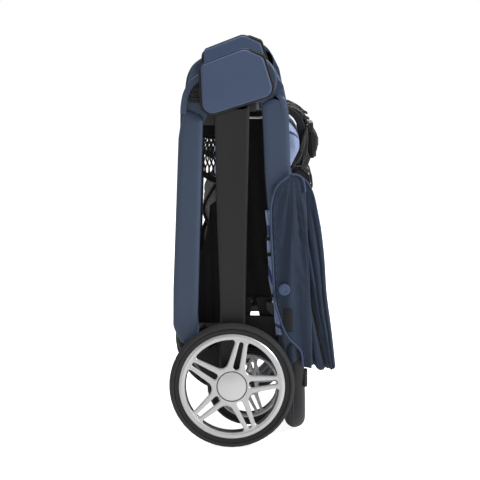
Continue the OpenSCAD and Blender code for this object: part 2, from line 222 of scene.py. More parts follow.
def join(*parts):
    verts, faces = [], []
    for v, f in parts:
        faces += [tuple(i + len(verts) for i in g) for g in f]
        verts += v
    return verts, faces


def loft(rings, cap0=True, cap1=True):
    """A skin over rings of equal length."""
    n = len(rings[0])
    faces = []
    for i in range(len(rings) - 1):
        for j in range(n):
            k = (j + 1) % n
            faces.append((i * n + j, i * n + k, (i + 1) * n + k, (i + 1) * n + j))
    if cap0:
        faces.append(tuple(range(n))[::-1])
    if cap1:
        faces.append(tuple((len(rings) - 1) * n + j for j in range(n)))
    return [p for r in rings for p in r], faces


FACE_MARGIN = 0.7  # ring that keeps a flat face flat next to its rounded edge


def plate(outline, y_near, y_far, edge=(2, 2), far_edge=(1, 1), crown=0, n=5):
    """A side-view outline made solid between two depths. edge is how far its rounding goes in along the face and back
    in depth, and crown how far the near face bulges."""
    rings = []
    d = 1 if y_far > y_near else -1
    ri, rd = edge
    first = inset(outline, ri + FACE_MARGIN)
    if crown:
        cx, cz = sum(p[0] for p in first) / len(first), sum(p[1] for p in first) / len(first)
        for s in (0.04, 0.2, 0.4, 0.6, 0.78, 0.92):
            rings.append([(cx + (x - cx) * s, y_near - d * crown * (1 - s ** 2), cz + (z - cz) * s) for x, z in first])
    rings.append([(x, y_near, z) for x, z in first])
    for i in range(n + 1):
        a = pi / 2 * i / n
        rings.append([(x, y_near + d * rd * (1 - cos(a)), z) for x, z in inset(outline, ri * (1 - sin(a)))])
    fi, fd = far_edge
    for i in range(n + 1):
        a = pi / 2 * i / n
        rings.append([(x, y_far - d * fd * (1 - sin(a)), z) for x, z in inset(outline, fi * (1 - cos(a)))])
    rings.append([(x, y_far, z) for x, z in inset(outline, fi + FACE_MARGIN)])
    return loft(rings)


def lathe(profile, cx, cy, cz, n=96, axis="y", sign=1, shape=None):
    """Turns a closed profile of (radius, depth) round an axis through a point. shape can change a radius as it turns."""
    verts, m = [], len(profile)
    for i in range(n):
        t = 2 * pi * i / n
        for r, h in profile:
            if shape:
                r = shape(r, h, t)
            if axis == "y":
                verts.append((cx + r * cos(t), cy + sign * h, cz + r * sin(t)))
            else:
                verts.append((cx + sign * h, cy + r * cos(t), cz + r * sin(t)))
    faces = []
    for i in range(n):
        k = (i + 1) % n
        for j in range(m):
            l = (j + 1) % m
            faces.append((i * m + j, k * m + j, k * m + l, i * m + l))
    return verts, faces


def sweep(path, section, caps=True, up=(0, 1, 0)):
    """Carries a section along a path. The section is points of (across, along up), or a function that gives them for
    the share of the path done."""
    pts = [Vector(p) for p in path]
    rings = []
    u = Vector(up)
    for i, p in enumerate(pts):
        t = (pts[min(i + 1, len(pts) - 1)] - pts[max(i - 1, 0)]).normalized()
        side = t.cross(u).normalized()
        top = side.cross(t).normalized()
        sec = section(i / (len(pts) - 1)) if callable(section) else section
        rings.append([tuple(p + side * a + top * b) for a, b in sec])
    return loft(rings, caps, caps)


def ring_section(r, n=24):
    return [(r * cos(2 * pi * i / n), r * sin(2 * pi * i / n)) for i in range(n)]


def flat_section(width, thick):
    """A strap's section: thick across the path, width along Y, with rounded edges."""
    w, t = width / 2, thick / 2
    return [(-t, -w + t), (-t * 0.6, -w), (t * 0.6, -w), (t, -w + t), (t, w - t), (t * 0.6, w), (-t * 0.6, w), (-t, w - t)]


def box(low, high, r=1.5, segments=3):
    """A block with rounded edges."""
    bm = bmesh.new()
    bmesh.ops.create_cube(bm, size=1)
    for v in bm.verts:
        v.co = Vector([(a + b) / 2 + c * (b - a) for a, b, c in zip(low, high, v.co)])
    bmesh.ops.bevel(bm, geom=list(bm.edges), offset=r, segments=segments, affect="EDGES", profile=0.5)
    bm.verts.index_update()
    out = [tuple(v.co) for v in bm.verts], [tuple(v.index for v in f.verts) for f in bm.faces]
    bm.free()
    return out


def soften(node, mat, bevel, slot):
    """A copy of a plain CAD piece with its sharp edges rounded, shown in its place."""
    src = frame["nodes"][node]
    bm = bmesh.new()
    bm.from_mesh(src.data)
    bmesh.ops.remove_doubles(bm, verts=bm.verts, dist=1e-5)
    bmesh.ops.dissolve_limit(bm, angle_limit=radians(0.5), verts=bm.verts, edges=bm.edges)
    mesh = bpy.data.meshes.new(node + "_body")
    bm.to_mesh(mesh)
    bm.free()
    tmp = add_object("tmp", mesh)
    b = tmp.modifiers.new("bevel", "BEVEL")
    b.width, b.segments, b.limit_method, b.angle_limit = bevel * MM, 3, "ANGLE", radians(32)
    b.use_clamp_overlap = True
    done = evaluated_mesh(tmp)
    bpy.data.objects.remove(tmp)
    finish_piece(node + "_body", done, mat, src["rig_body"], angle=35, weighted=True, node=node, slot=slot)


def cut_plate(outer, holes, y, thick, bevel, sign):
    """The mesh of a flat plate with holes and rounded edges, from a filled curve. sign is -1 on the right side."""
    cu = bpy.data.curves.new("outline", "CURVE")
    cu.dimensions, cu.fill_mode = "2D", "BOTH"
    cu.extrude, cu.bevel_depth, cu.bevel_resolution = (thick / 2 - bevel) * MM, bevel * MM, 4
    cu.offset = -bevel * MM
    for loop in [outer] + holes:
        s = cu.splines.new("POLY")
        s.points.add(len(loop) - 1)
        for p, (x, z) in zip(s.points, loop):
            p.co = (x * MM, z * MM, 0, 1)
        s.use_cyclic_u = True
    tmp = add_object("tmp", cu)
    mesh = evaluated_mesh(tmp)
    bpy.data.objects.remove(tmp)
    for v in mesh.vertices:
        x, z, d = v.co
        v.co = Vector((AXLE_X + x, sign * (y * MM - d), z))
    return mesh


# ---- Materials ----

def linear(colour):
    """An sRGB colour of 0 to 255 as the shader's linear one."""
    return [c / 12.92 if c <= 0.04045 else ((c + 0.055) / 1.055) ** 2.4 for c in [v / 255 for v in colour]]


def node(nt, kind, inputs, out=0, operation=None, blend=None):
    """Adds a shader node and gives back one output. An input is a constant or another node's output."""
    n = nt.nodes.new("ShaderNode" + kind)
    if operation:
        n.operation = operation
    if blend:
        n.data_type, n.blend_type = "RGBA", blend
    for k, v in inputs.items():
        if isinstance(v, bpy.types.NodeSocket):
            nt.links.new(v, n.inputs[k])
        else:
            n.inputs[k].default_value = v
    return n.outputs[out]


def remap(nt, value, start, end, to_start=0.0, to_end=1.0):
    return node(nt, "MapRange", {"Value": value, "From Min": start, "From Max": end, "To Min": to_start, "To Max": to_end})


def mix_colour(nt, factor, a, b, blend="MIX"):
    return node(nt, "Mix", {0: factor, 6: a, 7: b}, 2, blend=blend)


def thread_waves(nt, spacing, weight):
    """Crossed waves along X, Y and Z, as a weave's threads or a net's holes."""
    position = node(nt, "TexCoord", {}, "Object")
    scaled = node(nt, "VectorMath", {0: position, 1: [2 * pi / spacing] * 3}, operation="MULTIPLY")
    waves = node(nt, "VectorMath", {0: scaled}, operation="SINE")
    return node(nt, "VectorMath", {0: waves, 1: [weight] * 3}, "Value", operation="DOT_PRODUCT")


def material(name, colour, rough, metal=0.0, grain=900.0, bump=0.15, depth=0.0002, vary=0.08, patch=14.0,
             weave=0.0, weave_depth=0.0004, sheen=0.0, coat=0.0, stretch=None, aniso=0.0, edge=0.0):
    """Colour in sRGB 0 to 255. weave is the thread spacing in metres, and edge how much worn edges lighten."""
    m = bpy.data.materials.new(name)
    m.use_nodes = True
    nt = m.node_tree
    link = nt.links.new
    p = nt.nodes["Principled BSDF"]
    rgb = linear(colour)
    for key, value in {"Metallic": metal, "Sheen Weight": sheen, "Sheen Roughness": 0.4, "Coat Weight": coat,
                       "Coat Roughness": 0.25, "Specular IOR Level": 0.5, "Anisotropic": aniso}.items():
        p.inputs[key].default_value = value
    position = node(nt, "TexCoord", {}, "Object")
    grain_at = node(nt, "Mapping", {"Vector": position, "Scale": stretch}) if stretch else position
    patches = node(nt, "TexNoise", {"Vector": position, "Scale": patch, "Detail": 5})
    ramp = nt.nodes.new("ShaderNodeValToRGB")
    for stop, place, change in zip(ramp.color_ramp.elements, (0.3, 0.7), (-vary, vary)):
        stop.position, stop.color = place, [min(1, c * (1 + change)) for c in rgb] + [1]
    link(patches, ramp.inputs["Fac"])
    shade = ramp.outputs["Color"]
    height = node(nt, "TexNoise", {"Vector": grain_at, "Scale": grain, "Detail": 3})
    if weave:
        bump, depth = 0.6, weave_depth
        height = node(nt, "Math", {0: height, 1: 0.35, 2: thread_waves(nt, weave, 0.25)}, operation="MULTIPLY_ADD")
        shade = mix_colour(nt, 1.0, shade, remap(nt, height, -0.5, 0.8, 0.72, 1.16), "MULTIPLY")
    if edge:
        worn = remap(nt, node(nt, "NewGeometry", {}, "Pointiness"), 0.52, 0.62, 0.0, edge)
        shade = mix_colour(nt, worn, shade, [min(1, c * 2.2 + 0.02) for c in rgb] + [1])
    link(shade, p.inputs["Base Color"])
    link(remap(nt, patches, 0.0, 1.0, max(0.02, rough - 0.08), min(1, rough + 0.08)), p.inputs["Roughness"])
    link(node(nt, "Bump", {"Strength": bump, "Distance": depth, "Height": height}), p.inputs["Normal"])
    return m


def pattern(m, colour, scale, width, distortion):
    """Draws thin wandering lines of another colour on a material."""
    nt = m.node_tree
    base = nt.nodes["Principled BSDF"].inputs["Base Color"]
    wave = node(nt, "TexWave", {"Vector": node(nt, "TexCoord", {}, "Object"), "Scale": scale, "Distortion": distortion,
                                "Detail": 2, "Detail Scale": 1.4}, "Fac")
    wave.node.bands_direction = "DIAGONAL"
    lines = remap(nt, wave, 1 - width, 1 - width * 0.6)
    nt.links.new(mix_colour(nt, lines, base.links[0].from_socket, linear(colour) + [1]), base)


def netting(m, pitch, hole):
    """Cuts a net's round holes out of a material."""
    nt = m.node_tree
    cord = node(nt, "Math", {0: thread_waves(nt, pitch, 0.5), 1: hole}, operation="LESS_THAN")
    nt.links.new(cord, nt.nodes["Principled BSDF"].inputs["Alpha"])


BLUE = material("blue_paint", (62, 78, 102), 0.42, grain=1800, bump=0.05, depth=0.0001, vary=0.05, coat=0.15, edge=0.25)
COVER = material("blue_cover_plastic", (75, 91, 121), 0.45, grain=2600, bump=0.12, depth=0.0001, vary=0.06, patch=9, edge=0.25)
# The blue paint darkened as painted shade, for the shaded recess in each handle's shoulder
BLUE_SHADED = material("blue_recess_painted_shade", (52, 66, 92), 0.5, grain=1800, bump=0.05, vary=0.05)
LEG = material("black_leg_paint", (35, 35, 36), 0.5, grain=2200, bump=0.12, depth=0.0001, vary=0.05, edge=0.12)
PLASTIC = material("black_moulded_plastic", (34, 34, 36), 0.5, grain=2400, bump=0.25, depth=0.00015, vary=0.1, edge=0.2)
GREY = material("dark_grey_plastic", (72, 72, 74), 0.5, grain=2400, bump=0.25, depth=0.00015, vary=0.08, edge=0.2)
STEEL = material("zinc_steel", (196, 197, 200), 0.28, metal=1.0, grain=1500, bump=0.05, vary=0.05)
RIM = material("rim_silver", (224, 224, 225), 0.34, metal=0.4, grain=2200, bump=0.05, vary=0.04, coat=0.2)
# The rim silver darkened as painted shade, for the rim's inner barrel and its hub behind the spokes
RIM_SHADED = material("rim_barrel_painted_shade", (118, 120, 126), 0.42, metal=0.6, grain=2200, bump=0.08, vary=0.05)
CAP = material("brushed_cap", (232, 232, 232), 0.34, metal=0.45, grain=420, bump=0.2, depth=0.0001, vary=0.04,
               stretch=(9, 9, 0.6), aniso=0.4)
TYRE = material("tyre_rubber", (52, 52, 54), 0.78, grain=1300, bump=0.35, depth=0.0002, vary=0.12, patch=30)
SIDEWALL = material("tyre_sidewall", (30, 30, 31), 0.6, grain=1600, bump=0.2, vary=0.08)
CANOPY = material("canopy_weave", (39, 54, 76), 0.78, weave=0.0011, weave_depth=0.0003, grain=500, vary=0.1, patch=18, sheen=0.25)
PIPING = material("canopy_piping", (62, 80, 110), 0.7, weave=0.0009, weave_depth=0.0002, grain=500, vary=0.08, sheen=0.3)
BLACK_CLOTH = material("black_weave", (27, 27, 30), 0.85, weave=0.0012, weave_depth=0.0003, grain=500, vary=0.14, patch=20, sheen=0.12)
WEB = material("harness_webbing", (44, 43, 43), 0.75, weave=0.0016, weave_depth=0.0004, grain=400, vary=0.1, sheen=0.2)
WEB_GREY = material("strap_grey_webbing", (70, 68, 68), 0.75, weave=0.0016, weave_depth=0.0004, grain=400, vary=0.1, sheen=0.2)
LINING = material("printed_lining", (158, 175, 214), 0.8, weave=0.001, weave_depth=0.0002, grain=500, vary=0.16,
                  patch=30, sheen=0.2)
pattern(LINING, (62, 76, 128), 9.0, 0.05, 6.0)
NET = material("grey_net", (205, 197, 190), 0.8, grain=700, bump=0.3, vary=0.15, patch=60, sheen=0.2)
netting(NET, 0.0042, 0.62)
LEATHER = material("grip_leather", (33, 32, 33), 0.5, grain=620, bump=0.5, depth=0.0004, vary=0.1, patch=40, coat=0.05)
THREAD = material("blue_thread", (70, 86, 128), 0.7, grain=900, bump=0.4, vary=0.15)
PATCH = material("plain_patch", (13, 13, 14), 0.6, weave=0.0007, weave_depth=0.0001, grain=800, vary=0.08)
POPPER = material("popper_plastic", (66, 84, 114), 0.42, grain=2400, bump=0.1, vary=0.05, edge=0.3)

# ---- Hubs ----

HUB = [(-50.5, 623.5), (-47, 540.7), (69, 577.5), (50.5, 637), (20, 650.7)]
HUB_R = [8, 17, 17, 9, 18]
hub = rounded(HUB, HUB_R, 12)
border = rounded([(-54.2, 618.5), (-50.8, 536), (74.2, 575.8), (53.6, 640.2), (32, 648.6), (17, 646.5)], [8, 20, 20, 9, 6, 8], 12)
y_cover = -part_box("left_hub_cover")[0].y / MM
y_plate = -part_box("left_hub_housing")[0].y / MM
pair("hub_cover_shell", *plate(hub, -y_cover + 0.8, -y_plate, (3.2, 2.6), (0.4, 0.4), crown=0.9), COVER, "rear_frame", "SIDE_hub_cover",
    "blue_cover")
pair("hub_inner_shell", *plate(hub, -174.3, -179, (3.2, 2.6), (0.4, 0.4), crown=0.4), COVER, "rear_frame", "SIDE_hub_inner_cover",
    "blue_cover")
pair("hub_layers", *join(
    plate(border, -219.5, -213.2, (1.2, 1.2), (0.6, 0.6)),
    plate(border, -179, -183, (0.6, 0.6), (0.6, 0.6)),
    box((-27, -213, 551), (22, -183, 562), 1.5),
    box((-52, -207, 526), (-24, -192, 549), 2),
    box((24, -206, 548), (40, -192, 564), 2),
), PLASTIC, "rear_frame", "SIDE_hub_housing", "black_plastic", weighted=True)
pair("hub_bolts", *join(*[
    lathe([(0.01, 0), (4.8, 0), (5.6, 0.6), (5.6, 3), (0.01, 3)], x, -173.5, HINGE_Z, 32, sign=-1) for x in (-22, 36)
]), STEEL, "rear_frame", slot="steel")

# ---- Rear legs, cross tube and axles ----

leg = rounded([(-28.5, 560), (-25.3, 404), (-19.5, 230), (-21, 100), (-14, 84), (14, 84), (21, 100), (22.5, 230), (26, 404), (29, 560)],
              [2, 300, 300, 30, 10, 10, 30, 300, 300, 2], 6)
pair("rear_leg_blade", *join(
    plate(leg, -LEG_OUT, -LEG_IN, (5, 3), (5, 3)),
    lathe([(0.01, 0), (22, 0), (24, 2), (24, LEG_OUT - LEG_IN - 2), (22, LEG_OUT - LEG_IN), (0.01, LEG_OUT - LEG_IN)], 0, -LEG_OUT, REAR_R,
        64),
), LEG, "rear_frame", "SIDE_rear_leg", "black_leg", weighted=True)
soften("rear_cross_tube", PLASTIC, 1.5, "black_metal")
soften("rear_axle_stubs", STEEL, 1.0, "steel")
pair("rear_link_rods", *sweep([(22, -188, 536.5), (46, -188, 536.5), (56, -187, 537)], ring_section(1.8, 12)), STEEL, "rear_frame",
    slot="steel")
pair("latch_rods", *join(*[sweep([(-66, -197, z + 2), (-52, -197, z)], ring_section(1.1, 10)) for z in (548, 541, 534)]), STEEL,
    "rear_frame", slot="steel")

# ---- Front legs ----

tube = rounded([(-46.5, 541), (-50.3, 403), (-55.5, 215), (-54, 184), (-60, 170), (-82, 160), (-96.5, 196), (-96, 256), (-86.8, 505),
                (-79, 555.5)],
               [10.5, 60, 60, 16, 12, 14, 22, 80, 60, 11], 8)
elbow = rounded([(-52, 520), (-84, 520), (-83.5, 552), (-71, 596), (-46, 615), (-40, 615), (-40, 540)], [2, 2, 30, 24, 6, 2, 4], 8)
neck = rounded([(-52, 606), (-22, 620), (-6, 606), (-6, 590), (-22, 578), (-52, 560)], [4, 18, 10, 10, 18, 4], 8)
pair("front_leg_tube", *join(
    plate(tube, -TUBE_OUT, -TUBE_IN, (9, 5), (7, 5)),
    plate(elbow, -207.5, -TUBE_IN - 1, (1.5, 1.5), (4, 3)),
    plate(neck, -198, -TUBE_IN - 1, (2, 2), (2, 2)),
), BLUE, "front_frame", "SIDE_front_leg", "blue_metal", weighted=True)
rim_path = [(x, -208.3, z) for x, z in spline([(-78.5, 545), (-77.5, 560), (-74, 577), (-65.5, 592.5), (-52, 603.5), (-44, 608)], 10)]
lip = [(-5.4, -3), (-5.4, 2.4), (-4.4, 3.6), (4.4, 3.6), (5.4, 2.4), (5.4, -3)]
pair("elbow_rim", *sweep(rim_path, lip, up=(0, -1, 0)), BLUE, "front_frame", slot="blue_metal", weighted=True)
recess = rounded([(-73.5, 566), (-69.5, 582), (-61, 594.5), (-50, 602), (-48, 561)], [3, 10, 12, 4, 3], 6)
ribs = [plate(recess, -208.1, -205, (0.6, 0.4), (0.5, 0.5))]
for z in (570, 578, 586, 594):
    left_x = -73 + max(0, z - 574) * 0.75
    ribs.append(box((left_x, -210, z - 0.9), (-50, -208, z + 0.9), 0.5, 2))
for x in (-67, -61, -55):
    ribs.append(box((x - 0.8, -209.6, 562), (x + 0.8, -208, 571.5), 0.4, 2))
for x0, z0, x1, z1 in ((-68, 574, -58, 590), (-58, 573, -66, 588), (-52, 575, -56, 594)):
    ribs.append(sweep([(x0, -209.2, z0), (x1, -209.2, z1)], ring_section(0.8, 8)))
pair("elbow_ribs", *join(*ribs), PLASTIC, "front_frame", slot="black_plastic", weighted=True)
for side in SIDES:
    soften(f"{side}_caster_housing", PLASTIC, 2.0, "black_plastic")
soften("front_cross_tube", PLASTIC, 1.0, "black_metal")
soften("caster_rivets", STEEL, 0.6, "steel")
for side in SIDES:
    soften(f"{side}_fork", PLASTIC, 1.8, "black_plastic")
for side in SIDES:
    soften(f"{side}_front_axle", STEEL, 0.8, "steel")
step = rounded([(-90, 205), (-90, 298), (-80, 298), (-80, 205)], 3, 5)
grooves = [box((-91.3, -178, z), (-89.3, 178, z + 5), 0.9, 2) for z in range(212, 292, 11)]
piece("footrest_board", *join(plate(step, -TUBE_IN + 0.5, TUBE_IN - 0.5, (2.5, 2), (2.5, 2)), *grooves), GREY, "front_frame",
      "footrest", "dark_plastic", weighted=True)

# ---- Wheels ----


def wheel(side, kind, cx, cy, cz, r, r_rim, width, cap_r):
    """One wheel with its outer face towards -Y on the left. The rear and front wheels share the spoke pattern."""
    rear = kind == "rear"
    body = f"{side}_{kind}_wheel"
    k = r_rim / 86.0  # the spokes are drawn at the rear rim's radius
    half = width / 2

    def part(name, profile, n, mat, cad="", slot=None, shape=None, **kw):
        v, f = lathe(profile, cx, cy, cz, n, shape=shape)
        if side == "right":
            v, f = mirrored(v), [g[::-1] for g in f]
        return piece(f"{side}_{kind}_{name}", v, f, mat, body, cad and f"{side}_{kind}_{cad}", slot, **kw)

    def on_circle(radius, angle):
        return radius * cos(angle), radius * sin(angle)

    def sipes(rad, h, t):
        """Cuts cross grooves and two shallow bands into the tread."""
        if rad > r - 2.6:
            u = (t * (44 if rear else 34) / (2 * pi) + h * 0.06) % 1
            if u < 0.16:
                return rad - 1.1
        if abs(rad - (r - 0.55)) < 0.5 and 3 < abs(h) < 5.2:
            return rad - 0.9
        return rad

    tread = [(r - 3.4 * abs(a) ** 2.4, a * (half - 1.2)) for a in [-1 + 2 * i / 12 for i in range(13)]]
    groove = r_rim + (r - r_rim) * 0.5
    wall = [(r_rim - 0.6, 2.6), (groove - 0.6, 1.2), (groove + 0.3, 2.4), (groove + 1.2, 0.9), (groove + 3, 0.5)]
    tyre = [(a, d - half) for a, d in wall] + tread + [(a, half - d) for a, d in wall[::-1]]
    o = part("tyre_tread", tyre, 264, TYRE, "tyre", "tyre", shape=sipes, angle=50)
    o.data.materials.append(SIDEWALL)
    for f in o.data.polygons:
        if hypot(f.center.x - at(cx, 0, cz).x, f.center.z - cz * MM) / MM < groove + 0.6:
            f.material_index = 1

    lip = [(r_rim * a, d - half) for a, d in ((0.895, 4.5), (0.9, 2.2), (0.925, 0.6), (0.955, 0.1), (0.985, 0.9))]
    part("rim_ring", lip + [(r_rim + 0.6, 2.6 - half), (r_rim + 0.6, 5 - half), (r_rim * 0.895, 5 - half)], 160, RIM)
    # Inner barrel in the darker rim colour, which paints its shade
    barrel = [(r_rim * 0.895, 4.8 - half), (r_rim + 0.4, 4.8 - half), (r_rim + 0.4, half - 2.6)]
    barrel += [(r_rim * a, half - d) for a, d in ((0.985, 0.9), (0.955, 0.2), (0.92, 0.9), (0.885, 3), (0.87, half))]
    part("rim_barrel", barrel, 160, RIM_SHADED)

    outer = circle(cx, cz, r_rim * 0.93, 120)
    holes = [circle(cx, cz, 6.3 * (1 if rear else 0.86), 32)]
    window_r = 77 * k
    spoke = asin(10 * k / window_r)
    for i in range(5):
        a = radians(5.6 + 72 * i)
        b = a + radians(72)
        p0, p1, inner = on_circle(window_r, a + spoke), on_circle(window_r, b - spoke), on_circle(27 * k, (a + b) / 2)
        arc = [on_circle(window_r, a + spoke + (b - a - 2 * spoke) * t / 14) for t in range(15)]
        loop = corner(inner, p0, arc[1], 4.5 * k, 6) + arc[3:-3] + corner(arc[-2], p1, inner, 4.5 * k, 6)
        loop += corner(p1, inner, p0, 13 * k, 10)
        holes.append([(cx + x, cz + z) for x, z in loop][::-1])
        ca, sa = cos(a), sin(a)
        slit = rounded([(28 * k, -5.4 * k), (74.5 * k, -3.3 * k), (74.5 * k, 3.3 * k), (28 * k, 5.4 * k)],
                       [4.6 * k, 3.0 * k, 3.0 * k, 4.6 * k], 5)
        holes.append([(cx + x * ca - z * sa, cz + x * sa + z * ca) for x, z in slit][::-1])
    mesh = cut_plate(outer, holes, cy - half + 5.6 * (1 if rear else 0.8), 7.5 * (1 if rear else 0.85), 2.2 * (k + 0.1),
                     1 if side == "left" else -1)
    finish_piece(f"{side}_{kind}_rim_spokes", mesh, RIM, body, weighted=True, node=f"{side}_{kind}_rim", slot="rim")
    hub_r = (32 if rear else 18) * 0.62
    # Hub behind the spokes, also in the rim colour darkened as painted shade
    part("rim_hub", [(6.2, 3 - half), (hub_r, 3 - half), (hub_r, half - 3.6), (hub_r - 1.6, half - 2), (6.2, half - 2)], 48, RIM_SHADED)
    part("cap_groove", [(cap_r, 1.75 - half), (cap_r + 1.6, 1.75 - half), (cap_r + 1.6, 2.6 - half), (cap_r, 2.6 - half)], 72, SIDEWALL)
    cap = [(0.01, 1.5), (cap_r - 3, 1.5), (cap_r - 1.2, 1.9), (cap_r - 0.8, 2.4), (cap_r + 0.2, 2.4), (cap_r + 0.2, 4), (0.01, 4)]
    part("cap_disc", [(a, d - half) for a, d in cap], 72, CAP, "hub_cap", "cap", angle=30)


for side in SIDES:
    wheel(side, "rear", 0, -REAR_Y, REAR_R, REAR_R, 86, 29, 23.6)
    low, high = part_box(f"{side}_front_tyre")
    fx, fz = ((low.x + high.x) / 2 - AXLE_X) / MM, (low.z + high.z) / 2 / MM
    wheel(side, "front", fx, -FRONT_Y, fz, FRONT_R, 54, 26, 11)

# ---- Handle tubes, grip and fold button ----

handle = rounded([(48.6, 562), (53.6, 445), (78, 150), (82, 128), (103, 109), (113, 128), (115.5, 148), (96.5, 437), (92.5, 540),
                  (84.5, 590), (68, 572)],
                 [10.5, 80, 12, 10, 10, 10, 20, 200, 60, 11, 24], 8)
shoulder = rounded([(50, 540), (90, 520), (93, 545), (84, 590), (70, 618), (45, 632), (40, 600)], [4, 8, 40, 30, 14, 8, 8], 8)
pair("handle_tube_shell", *join(
    plate(handle, -TUBE_OUT, -TUBE_IN, (9, 5), (7, 5)),
    plate(shoulder, -207, -199.2, (4, 3), (1, 1)),
    plate(circle(36, HINGE_Z, 38, 72), -211, -199.2, (4, 3.5), (1, 1)),
), BLUE, "handle", "SIDE_handle_tube", "blue_metal", weighted=True)
# Crescent recess in each shoulder, its floor a darker blue as painted shade
crescent = rounded([(58, 566), (72, 573), (84, 588), (80, 597), (74, 600), (60, 584)], [3, 6, 3, 3, 3, 4], 6)
pair("handle_recess", *plate(crescent, -208.2, -205, (0.8, 0.5), (0.4, 0.4)), BLUE_SHADED, "handle", slot="blue_metal")

GRIP_R, GRIP_X, TILT = 17.5, 106.3, radians(-2.2)


def grip_point(y, z, x=0.0):
    """A point of the grip's own leaning plane."""
    return (GRIP_X + x * cos(TILT) + z * sin(TILT), y, GRIP_R - x * sin(TILT) + z * cos(TILT))


STRAIGHT, BEND = 65.5, 132.5  # half the grip's straight part, and the radius of its two bends
GRIP_Y = STRAIGHT + BEND


def bend(share):
    """Across and up from the end of the straight part, a share of the way round a bend."""
    a = radians(90 * share)
    return BEND * sin(a), BEND - BEND * cos(a)


right_bend = [bend(i / 32) for i in range(33)]
line = [(-GRIP_Y, 150), (-GRIP_Y, 141)]
line += [(-STRAIGHT - y, z) for y, z in right_bend[::-1]]
line += [(-STRAIGHT + 2 * STRAIGHT * i / 16, 0) for i in range(1, 17)]
line += [(STRAIGHT + y, z) for y, z in right_bend[1:]]
line += [(GRIP_Y, 141), (GRIP_Y, 150)]


def grip_section(t):
    return ring_section(GRIP_R - (1.85 if min(t, 1 - t) < 0.012 else 0.25), 48)


piece("handle_grip_leather", *sweep([grip_point(*p) for p in line], grip_section, up=(1, 0, 0)), LEATHER, "handle",
      "handle_grip", "grip_leather", angle=60)
seam_line = []
for i, (y, z) in enumerate(line):
    a, b = line[max(i - 1, 0)], line[min(i + 1, len(line) - 1)]
    t = Vector((b[0] - a[0], b[1] - a[1])).normalized()
    seam_line.append(grip_point(y + t.y * (GRIP_R - 0.3) * 0.985, z - t.x * (GRIP_R - 0.3) * 0.985, -3.0))
piece("grip_seam", *sweep(seam_line, ring_section(0.55, 8), up=(1, 0, 0)), THREAD, "handle")
dense = spline(seam_line, 4)
stitches = [sweep([(x + dx, y, z) for x, y, z in (dense[i], dense[i + 3])], ring_section(0.42, 6), up=(1, 0, 0))
            for i in range(4, len(dense) - 6, 5) for dx in (-2.2, 2.2)]
piece("grip_stitches", *join(*stitches), LEATHER, "handle")
# Painted collar over the top of each grip end, cut off at a slant
collar = []
for r, z0, slope in ((16.9, 150, 0.3), (17.9, 149, 0.3), (18.3, 146, 0.35), (18.3, 121, 0.72), (17.7, 119.6, 0.72), (16.9, 119.4, 0.72)):
    collar.append([grip_point(-GRIP_Y + r * sin(a), z0 + slope * r * cos(a), r * cos(a)) for a in [pi * k / 24 for k in range(48)]])
pair("grip_collar", *loft(collar), BLUE, "handle", weighted=True)
low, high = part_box("fold_button")
x0, x1 = (low.x - AXLE_X) / MM, (high.x - AXLE_X) / MM
y0, y1, z0, z1 = low.y / MM, high.y / MM, low.z / MM, high.z / MM
piece("fold_button_key", *join(
    box((x0, y0, z0), (x1, y1, z1), 2.4, 4),
    *[box((x1 - 0.4, y0 + 3, z), (x1 + 0.5, y1 - 3, z + 1.2), 0.4, 2) for z in [z0 + 5 + 4 * i for i in range(6)]],
), GREY, "fold_button", "fold_button", "dark_plastic", weighted=True)
frame["nodes"]["hub_pivot_pins"].data.materials.clear()
frame["nodes"]["hub_pivot_pins"].data.materials.append(STEEL)

# ---- Brake pedal ----

pedal = rounded([(51, 226), (51.5, 215), (57, 206.5), (65, 204.4), (72.5, 205), (72.5, 226)], [2, 8, 8, 4, 2, 2], 6)
arm = rounded([(8, 222), (10, 214), (50, 215), (58, 224), (50, 226)], [2, 2, 4, 2, 3], 5)
piece("brake_pedal_lever", *join(
    plate(pedal, -177.5, -130.5, (2.5, 2), (2.5, 2)),
    plate(arm, -176, -132, (1.5, 1.5), (1.5, 1.5)),
    lathe([(12.1, 0), (15.2, 0), (16, 1), (16, 47), (15.2, 48), (12.1, 48)], 0, -178, 215, 48),
    *[box((54 + i * 4, -174, 225.6), (55.4 + i * 4, -134, 227.0), 0.5, 2) for i in range(5)],
), GREY, "brake", "brake_pedal", "dark_plastic", weighted=True)
piece("brake_pedal_edge", *box((51.5, -177, 226.2), (72.6, -131, 227.6), 0.6, 2), RIM, "brake")

# ---- Soft goods ----


def soft_noise(p, scale, seed=0.0):
    return noise.noise(Vector((p[0] * scale + seed, p[1] * scale + seed * 1.7, p[2] * scale - seed)))


def read_vectors(mesh, field):
    out = np.zeros(len(mesh.vertices) * 3)
    mesh.vertices.foreach_get(field, out)
    return out.reshape(-1, 3)


